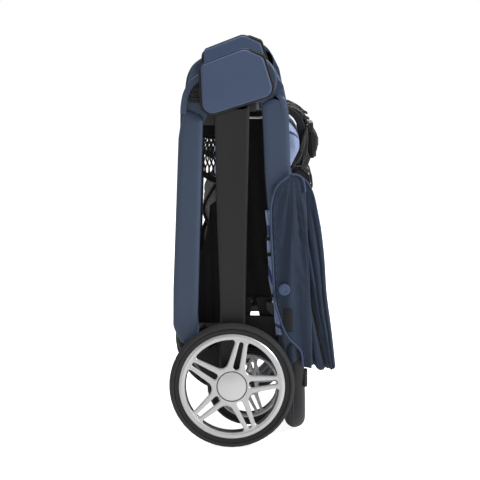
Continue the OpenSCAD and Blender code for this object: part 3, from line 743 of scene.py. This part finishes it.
def cushion(name, verts, faces, mat, body, node, slot, voxel=5.0, pressure=4.0, cap=8.0, fill=0.6, seams=None,
            seam_depth=3.0, keep=None):
    """A padded piece: its plain shape is remeshed, blown up as cloth, and held to at most cap from where it began.
    seams gives points' distances from the lines pressed into it, and keep limits where points can be."""
    mesh = bpy.data.meshes.new(name)
    mesh.from_pydata([at(*v) for v in verts], [], faces)
    bm = bmesh.new()
    bm.from_mesh(mesh)
    bmesh.ops.recalc_face_normals(bm, faces=bm.faces)
    bm.to_mesh(mesh)
    bm.free()
    o = add_object(name, mesh)
    rm = o.modifiers.new("remesh", "REMESH")
    rm.mode, rm.voxel_size = "VOXEL", voxel * MM
    mesh = evaluated_mesh(o)
    o.modifiers.clear()
    o.data = mesh
    rest = read_vectors(mesh, "co")
    cl = o.modifiers.new("cloth", "CLOTH")
    cl.settings.use_pressure = True
    cl.settings.uniform_pressure_force = pressure
    cl.settings.quality = 4
    cl.settings.tension_stiffness = 12
    cl.settings.compression_stiffness = 8
    cl.settings.bending_stiffness = 0.6
    cl.settings.effector_weights.gravity = 0
    cl.point_cache.frame_start, cl.point_cache.frame_end = 1, 20
    for f in range(1, 21):
        bpy.context.scene.frame_set(f)
    moved = evaluated_mesh(o)
    o.modifiers.clear()
    bpy.context.scene.frame_set(1)
    co = read_vectors(moved, "co")
    delta = co - rest
    length = np.linalg.norm(delta, axis=1, keepdims=True) + 1e-12
    co = rest + delta * np.minimum(1, cap * MM / length)
    normals = read_vectors(mesh, "normal")
    x, y, z = (co[:, 0] - AXLE_X) / MM, co[:, 1] / MM, co[:, 2] / MM
    sink = np.zeros(len(co))
    for distance in seams(x, y, z) if seams else ():
        sink = np.maximum(sink, np.exp(-(distance / 3.2) ** 2))
    wrinkle = np.array([soft_noise(p, 0.03 / MM) * 0.9 + soft_noise(p, 0.09 / MM, 4) * 0.35 for p in co])
    co = co - normals * (sink * seam_depth * MM)[:, None] + normals * (wrinkle * 0.7 * MM)[:, None]
    if keep:
        co = keep(co)
    mesh.vertices.foreach_set("co", co.ravel())
    mesh.update()
    sub = o.modifiers.new("sub", "SUBSURF")
    sub.levels = sub.render_levels = 1
    final = evaluated_mesh(o)
    bpy.data.objects.remove(o)
    finish_piece(name, final, mat, body, angle=None, node=node, slot=slot)


FAR = 99  # a distance at which a seam does nothing

# Backrest: a moulded tray with a pad on it
soften("backrest_shell", BLACK_CLOTH, 2.5, "black_plastic")
bars = [plate(rounded([(29.6, z), (29.6, z + 9), (25.6, z + 7.5), (25.6, z + 1.5)], 1.2, 4), -140, 140, (1, 1), (1, 1))
        for z in (285, 345, 405, 465, 510)]
bars += [box((25.8, y - 4, 262), (29.8, y + 4, 522), 1.5, 3) for y in (-120, 0, 120)]
piece("backrest_ribs", *join(*bars), PLASTIC, "handle", weighted=True)
soften("backrest_brackets", PLASTIC, 2, "dark_plastic")
back = rounded([(49, 531), (49.5, 254), (78, 254), (83, 430), (107, 484), (108, 512), (94, 530), (78, 533)],
               [4, 6, 12, 60, 20, 14, 14, 10], 5)
cushion("backrest_cushion", *plate(back, -142, 142, (8, 8), (8, 8)), LINING, "handle", "backrest_pad", "lining_fabric",
        voxel=6, pressure=3.5, cap=6.5,
        seams=lambda x, y, z: [np.where(x > 60, d, FAR) for d in (y - 62, y + 62, z - 330, z - 420)],
        keep=lambda co: np.clip(co, (AXLE_X + 47.6 * MM, -0.1505, 0.246), (AXLE_X + 112 * MM, 0.1505, 0.541)))
seat = rounded([(-25, 550), (-25, 348), (-11, 348), (-11, 550)], 5, 4)
cushion("seat_cushion", *plate(seat, -152, 152, (5, 6), (5, 6)), LINING, "seat", "seat_pad", "lining_fabric",
        voxel=5, pressure=3.0, cap=4.0, seam_depth=2.4,
        seams=lambda x, y, z: [np.where(x < -14, d, FAR) for d in (z - 415, z - 485, y)],
        keep=lambda co: np.clip(co, (AXLE_X - 31 * MM, -1, -1), (AXLE_X - 9.6 * MM, 1, 1)))
soften("seat_frame", PLASTIC, 1.5, "black_metal")
pads = rounded([(99, 343), (116, 343), (132.5, 412), (131, 428), (119, 440), (103, 440)], [4, 6, 9, 9, 6, 5], 5)
cushion("shoulder_cushions", *join(*[plate(pads, y, y + 32, (3, 4), (3, 4)) for y in (-61, 29)]), BLACK_CLOTH, "handle",
        "shoulder_pads", "black_fabric", voxel=4, pressure=3.0, cap=3.0, fill=0.7)
edge_path = rounded([(97, 340), (118, 340), (135.5, 412), (133.5, 430), (120.5, 443.5), (100, 443.5)], [6, 8, 11, 11, 8, 7], 8)
edge_path += edge_path[:1]
piece("shoulder_pad_piping", *join(*[sweep([(x, y, z) for x, z in edge_path], ring_section(1.3, 8)) for y in (-62, -28, 28, 62)]), WEB_GREY,
    "handle")


# Harness: webbing, adjusters, buckle
SHOULDER_Y = 55


def strap(points, y, width, thick):
    return sweep([(x, y, z) for x, z in spline(points, 8)], flat_section(width, thick))


def arc_points(cx, cz, r, a0, a1, n=9):
    angles = [radians(a0 + (a1 - a0) * i / n) for i in range(n + 1)]
    return [(cx + r * cos(a), cz + r * sin(a)) for a in angles]


STRAPS = (  # side-view line, distance from the middle, width, thickness
    (arc_points(78, 484, 63, 84, 44), SHOULDER_Y, 25, 2.2),
    (arc_points(78, 484, 59.5, 86, 34) + [(130, 508)], SHOULDER_Y, 25, 2.2),
    ([(126, 502), (123, 480), (119.5, 452), (112, 420)], 45, 25, 2.2),
    ([(84, 540), (95, 547), (108, 538), (120, 524), (129, 512)], 30, 25, 2.2),
    ([(111, 524), (114.5, 508), (113, 488), (107, 464), (104, 444)], SHOULDER_Y, 32, 5.5),
    ([(126, 510), (120, 492), (115, 470)], 70, 22, 3),
    ([(124, 514), (126.5, 492), (124.5, 466), (117, 444)], 40, 24, 4.5),
)
webbing = [strap(points, s * y, width, thick) for s in (-1, 1) for points, y, width, thick in STRAPS]
cover_line = spline([(76, 543), (93, 540), (108, 529), (117, 510), (117.5, 487), (112.5, 466), (105, 450)], 5)


def cover_section(t):
    """Narrower and flatter towards both ends of the strap's cover."""
    end = abs(2 * t - 1) ** 4
    return flat_section(34 - 3 * end, 13 - 5 * end)


covers = [sweep([(x, s * SHOULDER_Y, z) for x, z in cover_line], cover_section) for s in (-1, 1)]
piece("hip_strap_covers", *join(*covers), BLACK_CLOTH, "handle", angle=60)
piece("harness_webbing", *join(*webbing), WEB, "handle", "harness_straps", "webbing")
crotch = rounded([(104, 462), (128, 466), (134, 453), (127, 434), (104, 430)], [4, 3, 3, 5, 4], 5)
piece("crotch_strap", *plate(crotch, -18, 18, (2, 2), (2, 2)), WEB_GREY, "handle")
adjusters = [box((112, y - 15, 523), (119.5, y + 15, 533), 1.8, 3) for y in (-SHOULDER_Y, SHOULDER_Y)]
for y in (-SHOULDER_Y, SHOULDER_Y):
    loop = [(122, y - 13, 527), (129, y - 13, 524), (129, y + 13, 524), (122, y + 13, 527)]
    adjusters.append(sweep(loop, ring_section(1.6, 10), up=(1, 0, 0.3)))
piece("harness_adjusters", *join(*adjusters), PLASTIC, "handle", weighted=True)
body_outline = rounded([(128.5, 508), (129.5, 457), (133, 452.5), (140, 452.5), (145.5, 470), (145.5, 492), (138, 505), (133, 512)],
    [3, 3, 3, 4, 10, 8, 4, 3], 6)
piece("buckle_shell", *join(
    plate(body_outline, -18.5, 18.5, (4, 4), (4, 4)),
    box((129, -26, 497), (138, 26, 514), 2.2, 3),
    *[box((141.6, y - 0.8, 455), (143.4, y + 0.8, 468), 0.5, 2) for y in (-12, -8, -4, 0, 4, 8, 12)],
), PLASTIC, "handle", "buckle", "dark_plastic", weighted=True)
piece("buckle_button_disc", *lathe([(0.01, 5.0), (3, 5.1), (6.4, 5.0), (7.9, 4.5), (8.5, 3.4), (8.5, 0), (0.01, 0)], 142.3, 0, 480, 40,
    axis="x"), GREY, "buckle_button", "buckle_button", "dark_plastic", angle=60)
band = [strap([(78, 534), (86, 522), (92, 502), (94, 482), (93, 462), (93, 444)], y, 20, 2.4) for y in (-146, 146)]
piece("backrest_side_bands", *join(*band), BLACK_CLOTH, "handle")


# ---- Sheets ----

def grid(name, rows, mat, body, thick, node=None, slot=None):
    """An open sheet over a grid of points, given a cloth's thickness."""
    n, m = len(rows), len(rows[0])
    faces = [(i * m + j, i * m + j + 1, (i + 1) * m + j + 1, (i + 1) * m + j) for i in range(n - 1) for j in range(m - 1)]
    o = piece(name, [p for r in rows for p in r], faces, mat, body, node, slot, angle=None)
    sol = o.modifiers.new("cloth_thickness", "SOLIDIFY")
    sol.thickness, sol.offset = thick * MM, 0.0
    return o


def cloth(name, rows, mat, body, thick, node=None, slot=None):
    """An open sheet made by grid."""
    o = grid(name, rows, mat, body, thick, node, slot)


def cloth_pair(name, rows, mat, body, thick, left_node=None, slot=None):
    """The same sheet on both sides. left_node is the CAD node that the left one stands for."""
    for side in SIDES:
        side_rows = rows if side == "left" else [mirrored(r) for r in rows]
        cloth(f"{side}_{name}", side_rows, mat, body, thick,
              left_node if side == "left" else None, slot)


ANGLES = [-82.5, -79.2, -75.9]  # rear, middle and front hoop, degrees from level
HOOP_Y = [226.6, 223.4, 220.2]
R_TOP, R_END = 14.0, 291.0  # where the cloth starts and ends, from the pivot


def polar(r, a):
    return PIVOT[0] + r * cos(radians(a)), PIVOT[1] + r * sin(radians(a))


def fold_depth(u):
    """How far into its valley the cloth between two hoops is, at a share u of the way across."""
    return cos(pi * (u - 0.5) / 0.5) ** 2 if 0.25 < u < 0.75 else 0.0


def hem_drop(g):
    """How much lower the cloth hangs, at a share g of the way from the rear hoop to the front one."""
    g = max(0, min(1, (g - 0.12) / 0.4))
    return 11 * g * g * (3 - 2 * g)


def fan_sheet(name, i, node=None):
    """Pleated canopy cloth between two hoops: down one side, across the crown and up the other side."""
    a, b, ya, yb = ANGLES[i], ANGLES[i + 1], HOOP_Y[i], HOOP_Y[i + 1]
    nu, ns, nc, na = 25, 26, 8, 40
    rows, weights = [], []
    for iu in range(nu):
        u = iu / (nu - 1)
        ang = a + (b - a) * u
        r_end = R_END + hem_drop((i + u) / 2)
        dip = fold_depth(u)
        ridge = exp(-(u / 0.1) ** 2) + exp(-((1 - u) / 0.1) ** 2)
        y_side = ya + (yb - ya) * u
        row = []
        for k in range(ns + 1):
            r = R_TOP + (r_end - 12 - R_TOP) * k / ns
            valley = dip * 20 * max(0, min(1, (r - 120) / 90)) * (1 - 0.75 * max(0, min(1, (r - 225) / 60)))
            y = y_side - valley + 0.9 * ridge + 0.6 * soft_noise((r, iu * 3.0, 3 + i), 0.03)
            row.append((*polar(r, ang), -y))
        crown_in = 2 * dip
        for k in range(1, nc + 1):
            q = pi / 2 * k / nc
            r = r_end - 12 + 12 * sin(q) - crown_in * sin(q) ** 2
            row.append((*polar(r, ang), -(y_side - dip * 5 - 12 * (1 - cos(q)))))
        y_edge = -row[-1][2]
        for k in range(1, na):
            t = -1 + 2 * k / na
            sag = 2.0 * (1 - t * t) + 1.6 * soft_noise((t * 60, iu * 5.0, i), 0.12)
            row.append((*polar(r_end - crown_in - sag * dip, ang), y_edge * t))
        row = [(x, y, z) for x, z, y in row]
        row += [(x, -y, z) for x, y, z in row[:ns + nc + 1][::-1]]
        rows.append(row)
        weights += [u] * len(row)
    o = grid(name, rows, CANOPY, None, 1.0, node, "canopy_fabric")
    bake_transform(o)


def side_rows(left, right, y_of, nx, n):
    """Rows of points in the side view from a left to a right edge, each edge a list of (x, z) from top to bottom."""
    left, right = spline(left, n), spline(right, n)
    rows = []
    for i, a in enumerate(left):
        p, q = np.array(a), np.array(right[round(i * (len(right) - 1) / (len(left) - 1))])
        rows.append([(x, y_of(x, z, k / nx), z) for k, (x, z) in enumerate(p + (q - p) * j / nx for j in range(nx + 1))])
    return rows


# Rear gusset: a sheet on each side of the canopy, with soft folds that fan out from the pivot
left_edge = [(93, 446), (83.5, 439), (73, 428.5), (66.5, 411), (63, 384), (66, 310), (70, 245), (78, 212), (90, 184), (106, 166),
    (113.5, 155), (116, 132)]
right_edge = [(97, 448), (104, 447.5), (111, 444.5), (116, 437.5), (119, 420), (121.5, 380), (124, 330), (127, 270), (129.5, 215),
    (130.5, 180), (130.8, 155), (130, 129.5)]


def crease(v):
    """A row of rounded folds with sharper valleys between them."""
    return abs(sin(v)) ** 0.55


def gusset_y(x, z, k):
    """Where the left gusset's cloth is. k is the share of the way across it."""
    drop = max(0, min(1, (446 - z) / 90))
    a = degrees(atan2(z - 470, x - 98)) + 90
    turn = a * 0.27 + 0.5 * sin(z * 0.011) + 0.9
    wrinkle = max(0, 1 - abs(x - 112) / 16) * sin(z * 0.23 + x * 0.3 + 2 * sin(z * 0.05)) * max(0, min(1, (z - 240) / 60))
    fold = 4.5 * crease(turn) + 5.5 * (0.5 + 0.5 * sin(2 * turn + 0.8)) + sin(a * 1.1 + z * 0.012) * 0.7 + 0.8 * wrinkle
    near = min(1, max(0, (x - 74) / 22))
    y = 224.4 + drop * (fold * (0.3 + 0.7 * near) - 0.4) + 0.5 * soft_noise((x, 0, z), 0.05)
    edge = min(k, 1 - k)
    y += 3.2 * exp(-((x - PIVOT[0]) ** 2 + (z - PIVOT[1]) ** 2) / 300)
    y += 2.2 * exp(-((x - 112) ** 2 + (z - 422) ** 2) / 1400)
    return -(y - 2.0 * max(0, 0.06 - edge) / 0.06)


cloth_pair("canopy_gusset", side_rows(left_edge, right_edge, gusset_y, 44, 9), CANOPY, "handle", 1.2,
           "canopy_rear_panel", "canopy_fabric")
piping = [sweep([(x, gusset_y(x, z, 0.5) - 0.9, z) for x, z in spline(edge, 8)], ring_section(1.9, 10))
    for edge in (left_edge, right_edge[:5])]
pair("canopy_piping", *join(*piping), PIPING, "handle", slot="canopy_fabric")
seam = [(x + 5.0, gusset_y(x + 5.0, z, 0.5) - 0.7, z) for x, z in spline(left_edge, 10)]
pair("canopy_stitches", *join(*[sweep(seam[i:i + 2], ring_section(0.45, 6)) for i in range(8, len(seam) - 2, 2)]), PIPING, "handle")
fan_sheet("canopy_mid_pleats", 0, "canopy_mid_panel")
fan_sheet("canopy_front_pleats", 1)

# Visor: the cloth beyond the front hoop, wide at the sides and narrow across the crown
free_edge = spline([(103, 440), (113, 441.5), (123, 433), (132.5, 414), (139.5, 382), (144.5, 354), (149.5, 310), (153.5, 252), (160, 204),
    (164.4, 168), (168.3, 132)], 5)
visor_rows = []
nv, nt = 22, len(free_edge) - 1
for i in range(nv + 1):
    u = i / nv
    row = []
    for j in range(nt + 1):
        t = j / nt
        hx, hz = polar(8 + (R_END + 4 - 8) * t, ANGLES[2] - 0.6)
        fx, fz = free_edge[j]
        x, z = hx + (fx - hx) * u, hz + (fz - hz) * u - 4 * t ** 5 * sin(pi * u)
        grow = min(1, 4 * u) * min(1, 3 * t + 0.1)
        fold = crease(pi * (2.6 * u + 0.12) + 0.35 * sin(z * 0.013)) * 6.4
        small = 0.9 * soft_noise((x, i * 2.0, z), 0.07)
        y = 220.3 + grow * (fold + small) - 2.2 * max(0, (u - 0.9) / 0.1)
        y = min(y, 225.6 if x < 131 else 240)
        near_pivot = max(0, min(1, (80 - hypot(x - PIVOT[0], z - PIVOT[1])) / 35))
        row.append((x, -(y + (min(y, 218.5) - y) * near_pivot), z))
    x0, y0, z0 = row[-1]
    for j in range(1, 7):
        q = pi / 2 * j / 6
        row.append((x0, y0 + 9 * (1 - cos(q)), z0 - 3 * sin(q)))
    y_end = row[-1][1]
    for j in range(1, 40):
        t = 1 - j / 20
        row.append((x0 + 1.0 * soft_noise((t * 60, i * 4.0, 2), 0.1), y_end * t, z0 - 3 + 1.2 * soft_noise((t * 80, i * 3.0, 5), 0.1)))
    row += [(x, -y, z) for x, y, z in row[:nt + 7][::-1]]
    visor_rows.append(row)
cloth("canopy_visor", visor_rows, CANOPY, "canopy_front", 1.2,
      "canopy_front_panel", "canopy_fabric")
piece("canopy_visor_piping", *sweep(visor_rows[-1], ring_section(1.5, 8), up=(0.4, 0.1, 0.9)), PIPING, "canopy_front")
for part in ("rear_hoop", "mid_hoop", "front_hoop", "pivot_pins"):
    soften("canopy_" + part, PLASTIC, 0.8, "dark_plastic")

# Back of the canopy, from the rear hoop's bar up to the end of the backrest
back_rows = []
for i in range(25):
    t = i / 24
    x = 50 + (126 - 50) * t
    z = 246 + (134 - 246) * t - 26 * sin(pi * t) * 0.9
    row = []
    for j in range(49):
        s = -1 + 2 * j / 48
        wob = 2.4 * soft_noise((s * 60, t * 40, 1), 0.09)
        yy = s * (160 + 44 * min(1, t * 1.6))
        row.append((x + wob, yy, z + wob * 1.4 + 9 * (s * s) * sin(pi * t)))
    back_rows.append(row)
cloth("canopy_back_panel", back_rows, CANOPY, "handle", 1.2,
      slot="canopy_fabric")

# Lining strip that shows beside the gusset, and bars sewn across it
lin_rows = []
for x, z in spline([(56, 388), (57.5, 366), (58.5, 336), (60, 305), (62, 276), (67, 242), (70.5, 226), (71.5, 206), (72.5, 182)], 6):
    lin_rows.append([(x + w + 0.6 * sin(z * 0.11), -(214.6 + 1.4 * sin(k * 2.4 + z * 0.03)), z) for k, w in enumerate((-1, 1, 3, 5, 7, 9))])
cloth_pair("canopy_lining", lin_rows, LINING, "handle", 0.8, slot="lining_fabric")

bars = [rounded([(x - 3, z), (x + 11.5, z + 2), (x + 11.5, z + 8), (x - 3, z + 6)], 1.5, 3) for x, z in ((58, 338), (60, 312), (66, 244))]
pair("lining_stitch_bars", *join(*[plate(b, -217.6, -216.2, (0.5, 0.5), (0.5, 0.5)) for b in bars]), BLACK_CLOTH, "handle")

# Side wings: black cloth between the backrest and the frame
wing_rows = side_rows(
    [(24, 548), (22, 500), (21, 430), (21, 360), (21, 300), (20, 262), (20, 232)],
    [(62, 548), (66, 500), (70, 430), (76, 360), (82, 300), (86, 258), (84, 232)],
    lambda x, z, k: -(173 + 3.0 * sin(x * 0.16 + z * 0.021) + 2.2 * soft_noise((x, 3, z), 0.03)), 20, 9)
cloth_pair("side_wing", wing_rows, BLACK_CLOTH, "handle", 1.4, slot="black_fabric")

# Dark cloth that hangs in front of the rear leg, at the basket's side
curtain_rows = side_rows(
    [(-36, 392), (-39, 362), (-46, 330), (-54, 306), (-59, 270), (-61, 230), (-60, 196)],
    [(-20, 404), (-19, 370), (-18, 330), (-17, 300), (-17, 270), (-17, 230), (-17, 196)],
    lambda x, z, k: -(178.5 + 3.2 * crease(x * 0.17 + 0.006 * z + 0.3) + 1.2 * soft_noise((x, 9, z), 0.04) - 2.0), 22, 8)
cloth_pair("side_curtain", curtain_rows, BLACK_CLOTH, "rear_frame", 1.2, slot="black_fabric")

# Elastic net and its edge bands above the curtain
net = []
for x in [-50 + k * 6.5 for k in range(5)]:
    strands = (
        ([(x, 500), (x + 5, 486), (x + 1, 470), (x + 6, 455), (x + 5, 440)], 176.5, sin, 1.5),
        ([(x + 6, 500), (x, 484), (x + 5, 468), (x, 452), (x + 3, 440)], 178.0, cos, 1.2),
    )
    for points, y, wave, r in strands:
        net.append(sweep([(a, -y - 0.8 * wave(i), z) for i, (a, z) in enumerate(spline(points, 5))], ring_section(r, 8)))
pair("elastic_net", *join(*net), WEB, "rear_frame")
bands = []
for points, a, b in (([(-52, 446), (-42, 441), (-32, 435), (-20, 432)], 4.5, 5),
                     ([(-50, 508), (-40, 505), (-30, 504), (-20, 505)], 3, 3.4)):
    section = [(-a, -1.2), (a, -1.2), (b, 0), (a, 1.2), (-a, 1.2), (-b, 0)]
    bands.append(sweep([(x, -177, z) for x, z in spline(points, 8)], section))
pair("elastic_bands", *join(*bands), BLACK_CLOTH, "rear_frame")
flap_rows = side_rows([(-46, 534), (-47, 520), (-47, 506)], [(-20, 534), (-20, 520), (-20, 506)],
                      lambda x, z, k: -(177 + 1.6 * crease(x * 0.2)), 16, 8)
cloth_pair("net_flap", flap_rows, BLACK_CLOTH, "rear_frame", 1.2)

# Flat parts near the rear wheel: straps under the wing, the brake's link, a slider and the tube's end cap
def flat_part(points, radii, n, y_near, y_far, edge, far_edge=None):
    return plate(rounded(points, radii, n), y_near, y_far, edge, far_edge or edge)


pair("lower_side_straps", *join(
    flat_part([(19, 240), (34, 240), (30, 206), (19, 206)], 2, 4, -178.5, -176.5, (0.7, 0.7)),
    flat_part([(39, 240), (66, 240), (66, 186), (50, 186)], [3, 3, 2, 2], 4, -178.5, -176.5, (0.7, 0.7)),
), WEB, "handle")
link = [(17, 210), (72, 209), (82, 196), (88, 176), (84, 158), (62, 158), (17, 186)]
pair("brake_link_cover", *flat_part(link, [2, 6, 8, 6, 6, 12, 2], 5, -187, -180, (2, 2)), PLASTIC, "rear_frame", weighted=True)
slider = [(55, 234), (74, 229), (74, 213), (66, 210.5), (58, 219)]
pair("strap_slider", *flat_part(slider, [3, 3, 5, 5, 5], 5, -188, -182, (1.6, 1.6)), GREY, "handle", weighted=True)
end_cap = [(-88.5, 190), (-90.5, 170), (-84, 152), (-64, 149), (-58, 166), (-70, 186)]
pair("tube_end_cap", *flat_part(end_cap, [4, 8, 8, 6, 5, 5], 6, -209.5, -187, (4, 4), (3, 3)), PLASTIC, "front_frame", weighted=True)

# Mesh pocket under the seat
profile = spline([(-27, 424), (-34, 412), (-42, 398), (-46.5, 386), (-45, 372), (-38, 358), (-28, 345.5)], 6)
pocket_rows = [[(x - 1.2 * cos(j * 0.7) * min(1, abs(x + 27) / 12), -150 + 300 * j / 30, z) for j in range(31)] for x, z in profile]
cloth("seat_pocket", pocket_rows, BLACK_CLOTH, "seat", 1.0)
end_rows = [[(-26 + (x + 26) * k / 8, -151, 385 + (z - 385) * (0.15 + 0.85 * k / 8)) for k in range(9)] for x, z in profile]
cloth_pair("pocket_net", end_rows, NET, "seat", 0.6)
pair("pocket_binding", *sweep([(x, -151.5, z) for x, z in profile], ring_section(2.6, 8)), BLACK_CLOTH, "seat")

# Basket: one shell with a rolled rim that sags between its corners
basket_rows = []
x0, x1, z0, z1 = -46, 20, 236, 322
for i in range(15):
    t = i / 14
    wall = max(0, (t - 0.35) / 0.65)
    if t < 0.35:
        grow, z = 0.02 + 0.9 * t / 0.35, z0 + 2 + 3 * (t / 0.35) ** 3
    else:
        grow, z = 0.92 + 0.08 * sin(wall * pi / 2) ** 0.5, z0 + 5 + (z1 - z0 - 6) * wall
    row = []
    for j in range(97):
        a = 2 * pi * j / 96
        ca, sa = cos(a), sin(a)
        k = (abs(ca) ** 6.0 + abs(sa) ** 6.0) ** (-1 / 6.0)
        bulge = 1 - 0.03 * sin(pi * wall) * (0.5 + 0.5 * cos(4 * a))
        sag = -5.0 * t ** 3 * (0.5 - 0.5 * cos(4 * a)) if t > 0.6 else 0
        w = 1.0 * soft_noise((a * 20, t * 40, 7), 0.25)
        row.append(((x0 + x1) / 2 + ((x1 - x0) / 2 - 1.5) * k * ca * grow * bulge + w, 163.5 * k * sa * grow * bulge, z + sag + w))
    basket_rows.append(row)
cloth("storage_basket", basket_rows, BLACK_CLOTH, "rear_frame", 1.6, "basket", "black_fabric")
piece("basket_rim", *sweep(basket_rows[-1], ring_section(2.2, 10), caps=False, up=(0, 0, 1)), WEB, "rear_frame")

# Popper and plain patch on the gusset
popper_y = max(-gusset_y(85.3 + dx, 260 + dz, 0.5) for dx in (-8, -4, 0, 4, 8) for dz in (-8, 0, 8)) - 1.2
popper = lathe([(0.01, 3.4), (3.5, 3.5), (7.0, 4.1), (8.6, 3.9), (9.5, 2.8), (9.5, -1.0), (0.01, -1.0)], 85.3, -popper_y - 0.4, 260, 48,
    sign=-1)
piece("left_canopy_popper", *popper, POPPER, "handle", "canopy_poppers", "blue_plastic", angle=60)
piece("right_canopy_popper", mirrored(popper[0]), [f[::-1] for f in popper[1]], POPPER, "handle", slot="blue_plastic", angle=60)
patch_rows = []
for i in range(21):
    z = 190 + 39 * i / 20
    patch_rows.append([(84 + 15 * j / 8, gusset_y(84 + 15 * j / 8, z, 0.5) - 0.9, z) for j in range(9)])
patch = grid("plain_label_patch", patch_rows, PATCH, "handle", 0.5, "label_patches")

# ---- Stage ----

def camera_sees(nt, lit, seen):
    """One strength for what lights the scene, and another for what the camera sees."""
    return remap(nt, node(nt, "LightPath", {}, "Is Camera Ray"), 0.0, 1.0, lit, seen)


FLOOR = 8.0
floor_mesh = bpy.data.meshes.new("floor")
floor_mesh.from_pydata([(-FLOOR, -FLOOR, 0), (FLOOR, -FLOOR, 0), (FLOOR, FLOOR, 0), (-FLOOR, FLOOR, 0)], [], [(0, 1, 2, 3)])
floor = add_object("floor", floor_mesh)
pale = bpy.data.materials.new("floor_pale")
pale.use_nodes = True
shader = pale.node_tree.nodes["Principled BSDF"]
shader.inputs["Base Color"].default_value = (0.93, 0.93, 0.93, 1)
shader.inputs["Roughness"].default_value = 0.9
shader.inputs["Specular IOR Level"].default_value = 0.1
shader.inputs["Emission Color"].default_value = (1, 1, 1, 1)
pale.node_tree.links.new(camera_sees(pale.node_tree, 0.1, 0.9), shader.inputs["Emission Strength"])
floor_mesh.materials.append(pale)
floor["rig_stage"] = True

world = bpy.data.worlds.new("world")
world.use_nodes = True
background = world.node_tree.nodes["Background"]
background.inputs["Color"].default_value = (1, 1, 1, 1)
world.node_tree.links.new(camera_sees(world.node_tree, 0.2, 1.0), background.inputs["Strength"])
bpy.context.scene.world = world
bpy.context.scene.view_settings.view_transform = "Standard"


def area_light(name, location, target, size_m, energy):
    data = bpy.data.lights.new(name, "AREA")
    data.shape, data.size, data.energy = "SQUARE", size_m, energy
    o = add_object(name, data)
    o.location = location
    o.rotation_euler = (Vector(target) - Vector(location)).to_track_quat("-Z", "Y").to_euler()


area_light("key", (2.9, -1.5, 2.2), (0, 0, 0.35), 0.6, 82)
area_light("fill", (-2.6, -1.6, 1.2), (0, 0, 0.3), 1.2, 7)
area_light("top", (-0.4, 0.1, 3.0), (0, 0, 0.3), 1.0, 30)
area_light("back", (0.6, 2.6, 1.8), (0, 0, 0.3), 1.6, 20)

camera = bpy.data.cameras.new("camera")
camera.lens, camera.sensor_width = 193.54, 36
cam = add_object("camera", camera)
cam.location = (-0.02991, -4.383, 0.9052)
cam.rotation_euler = (pi / 2 - 0.13496, 0, -0.00226)
bpy.context.scene.camera = cam

low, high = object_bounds()
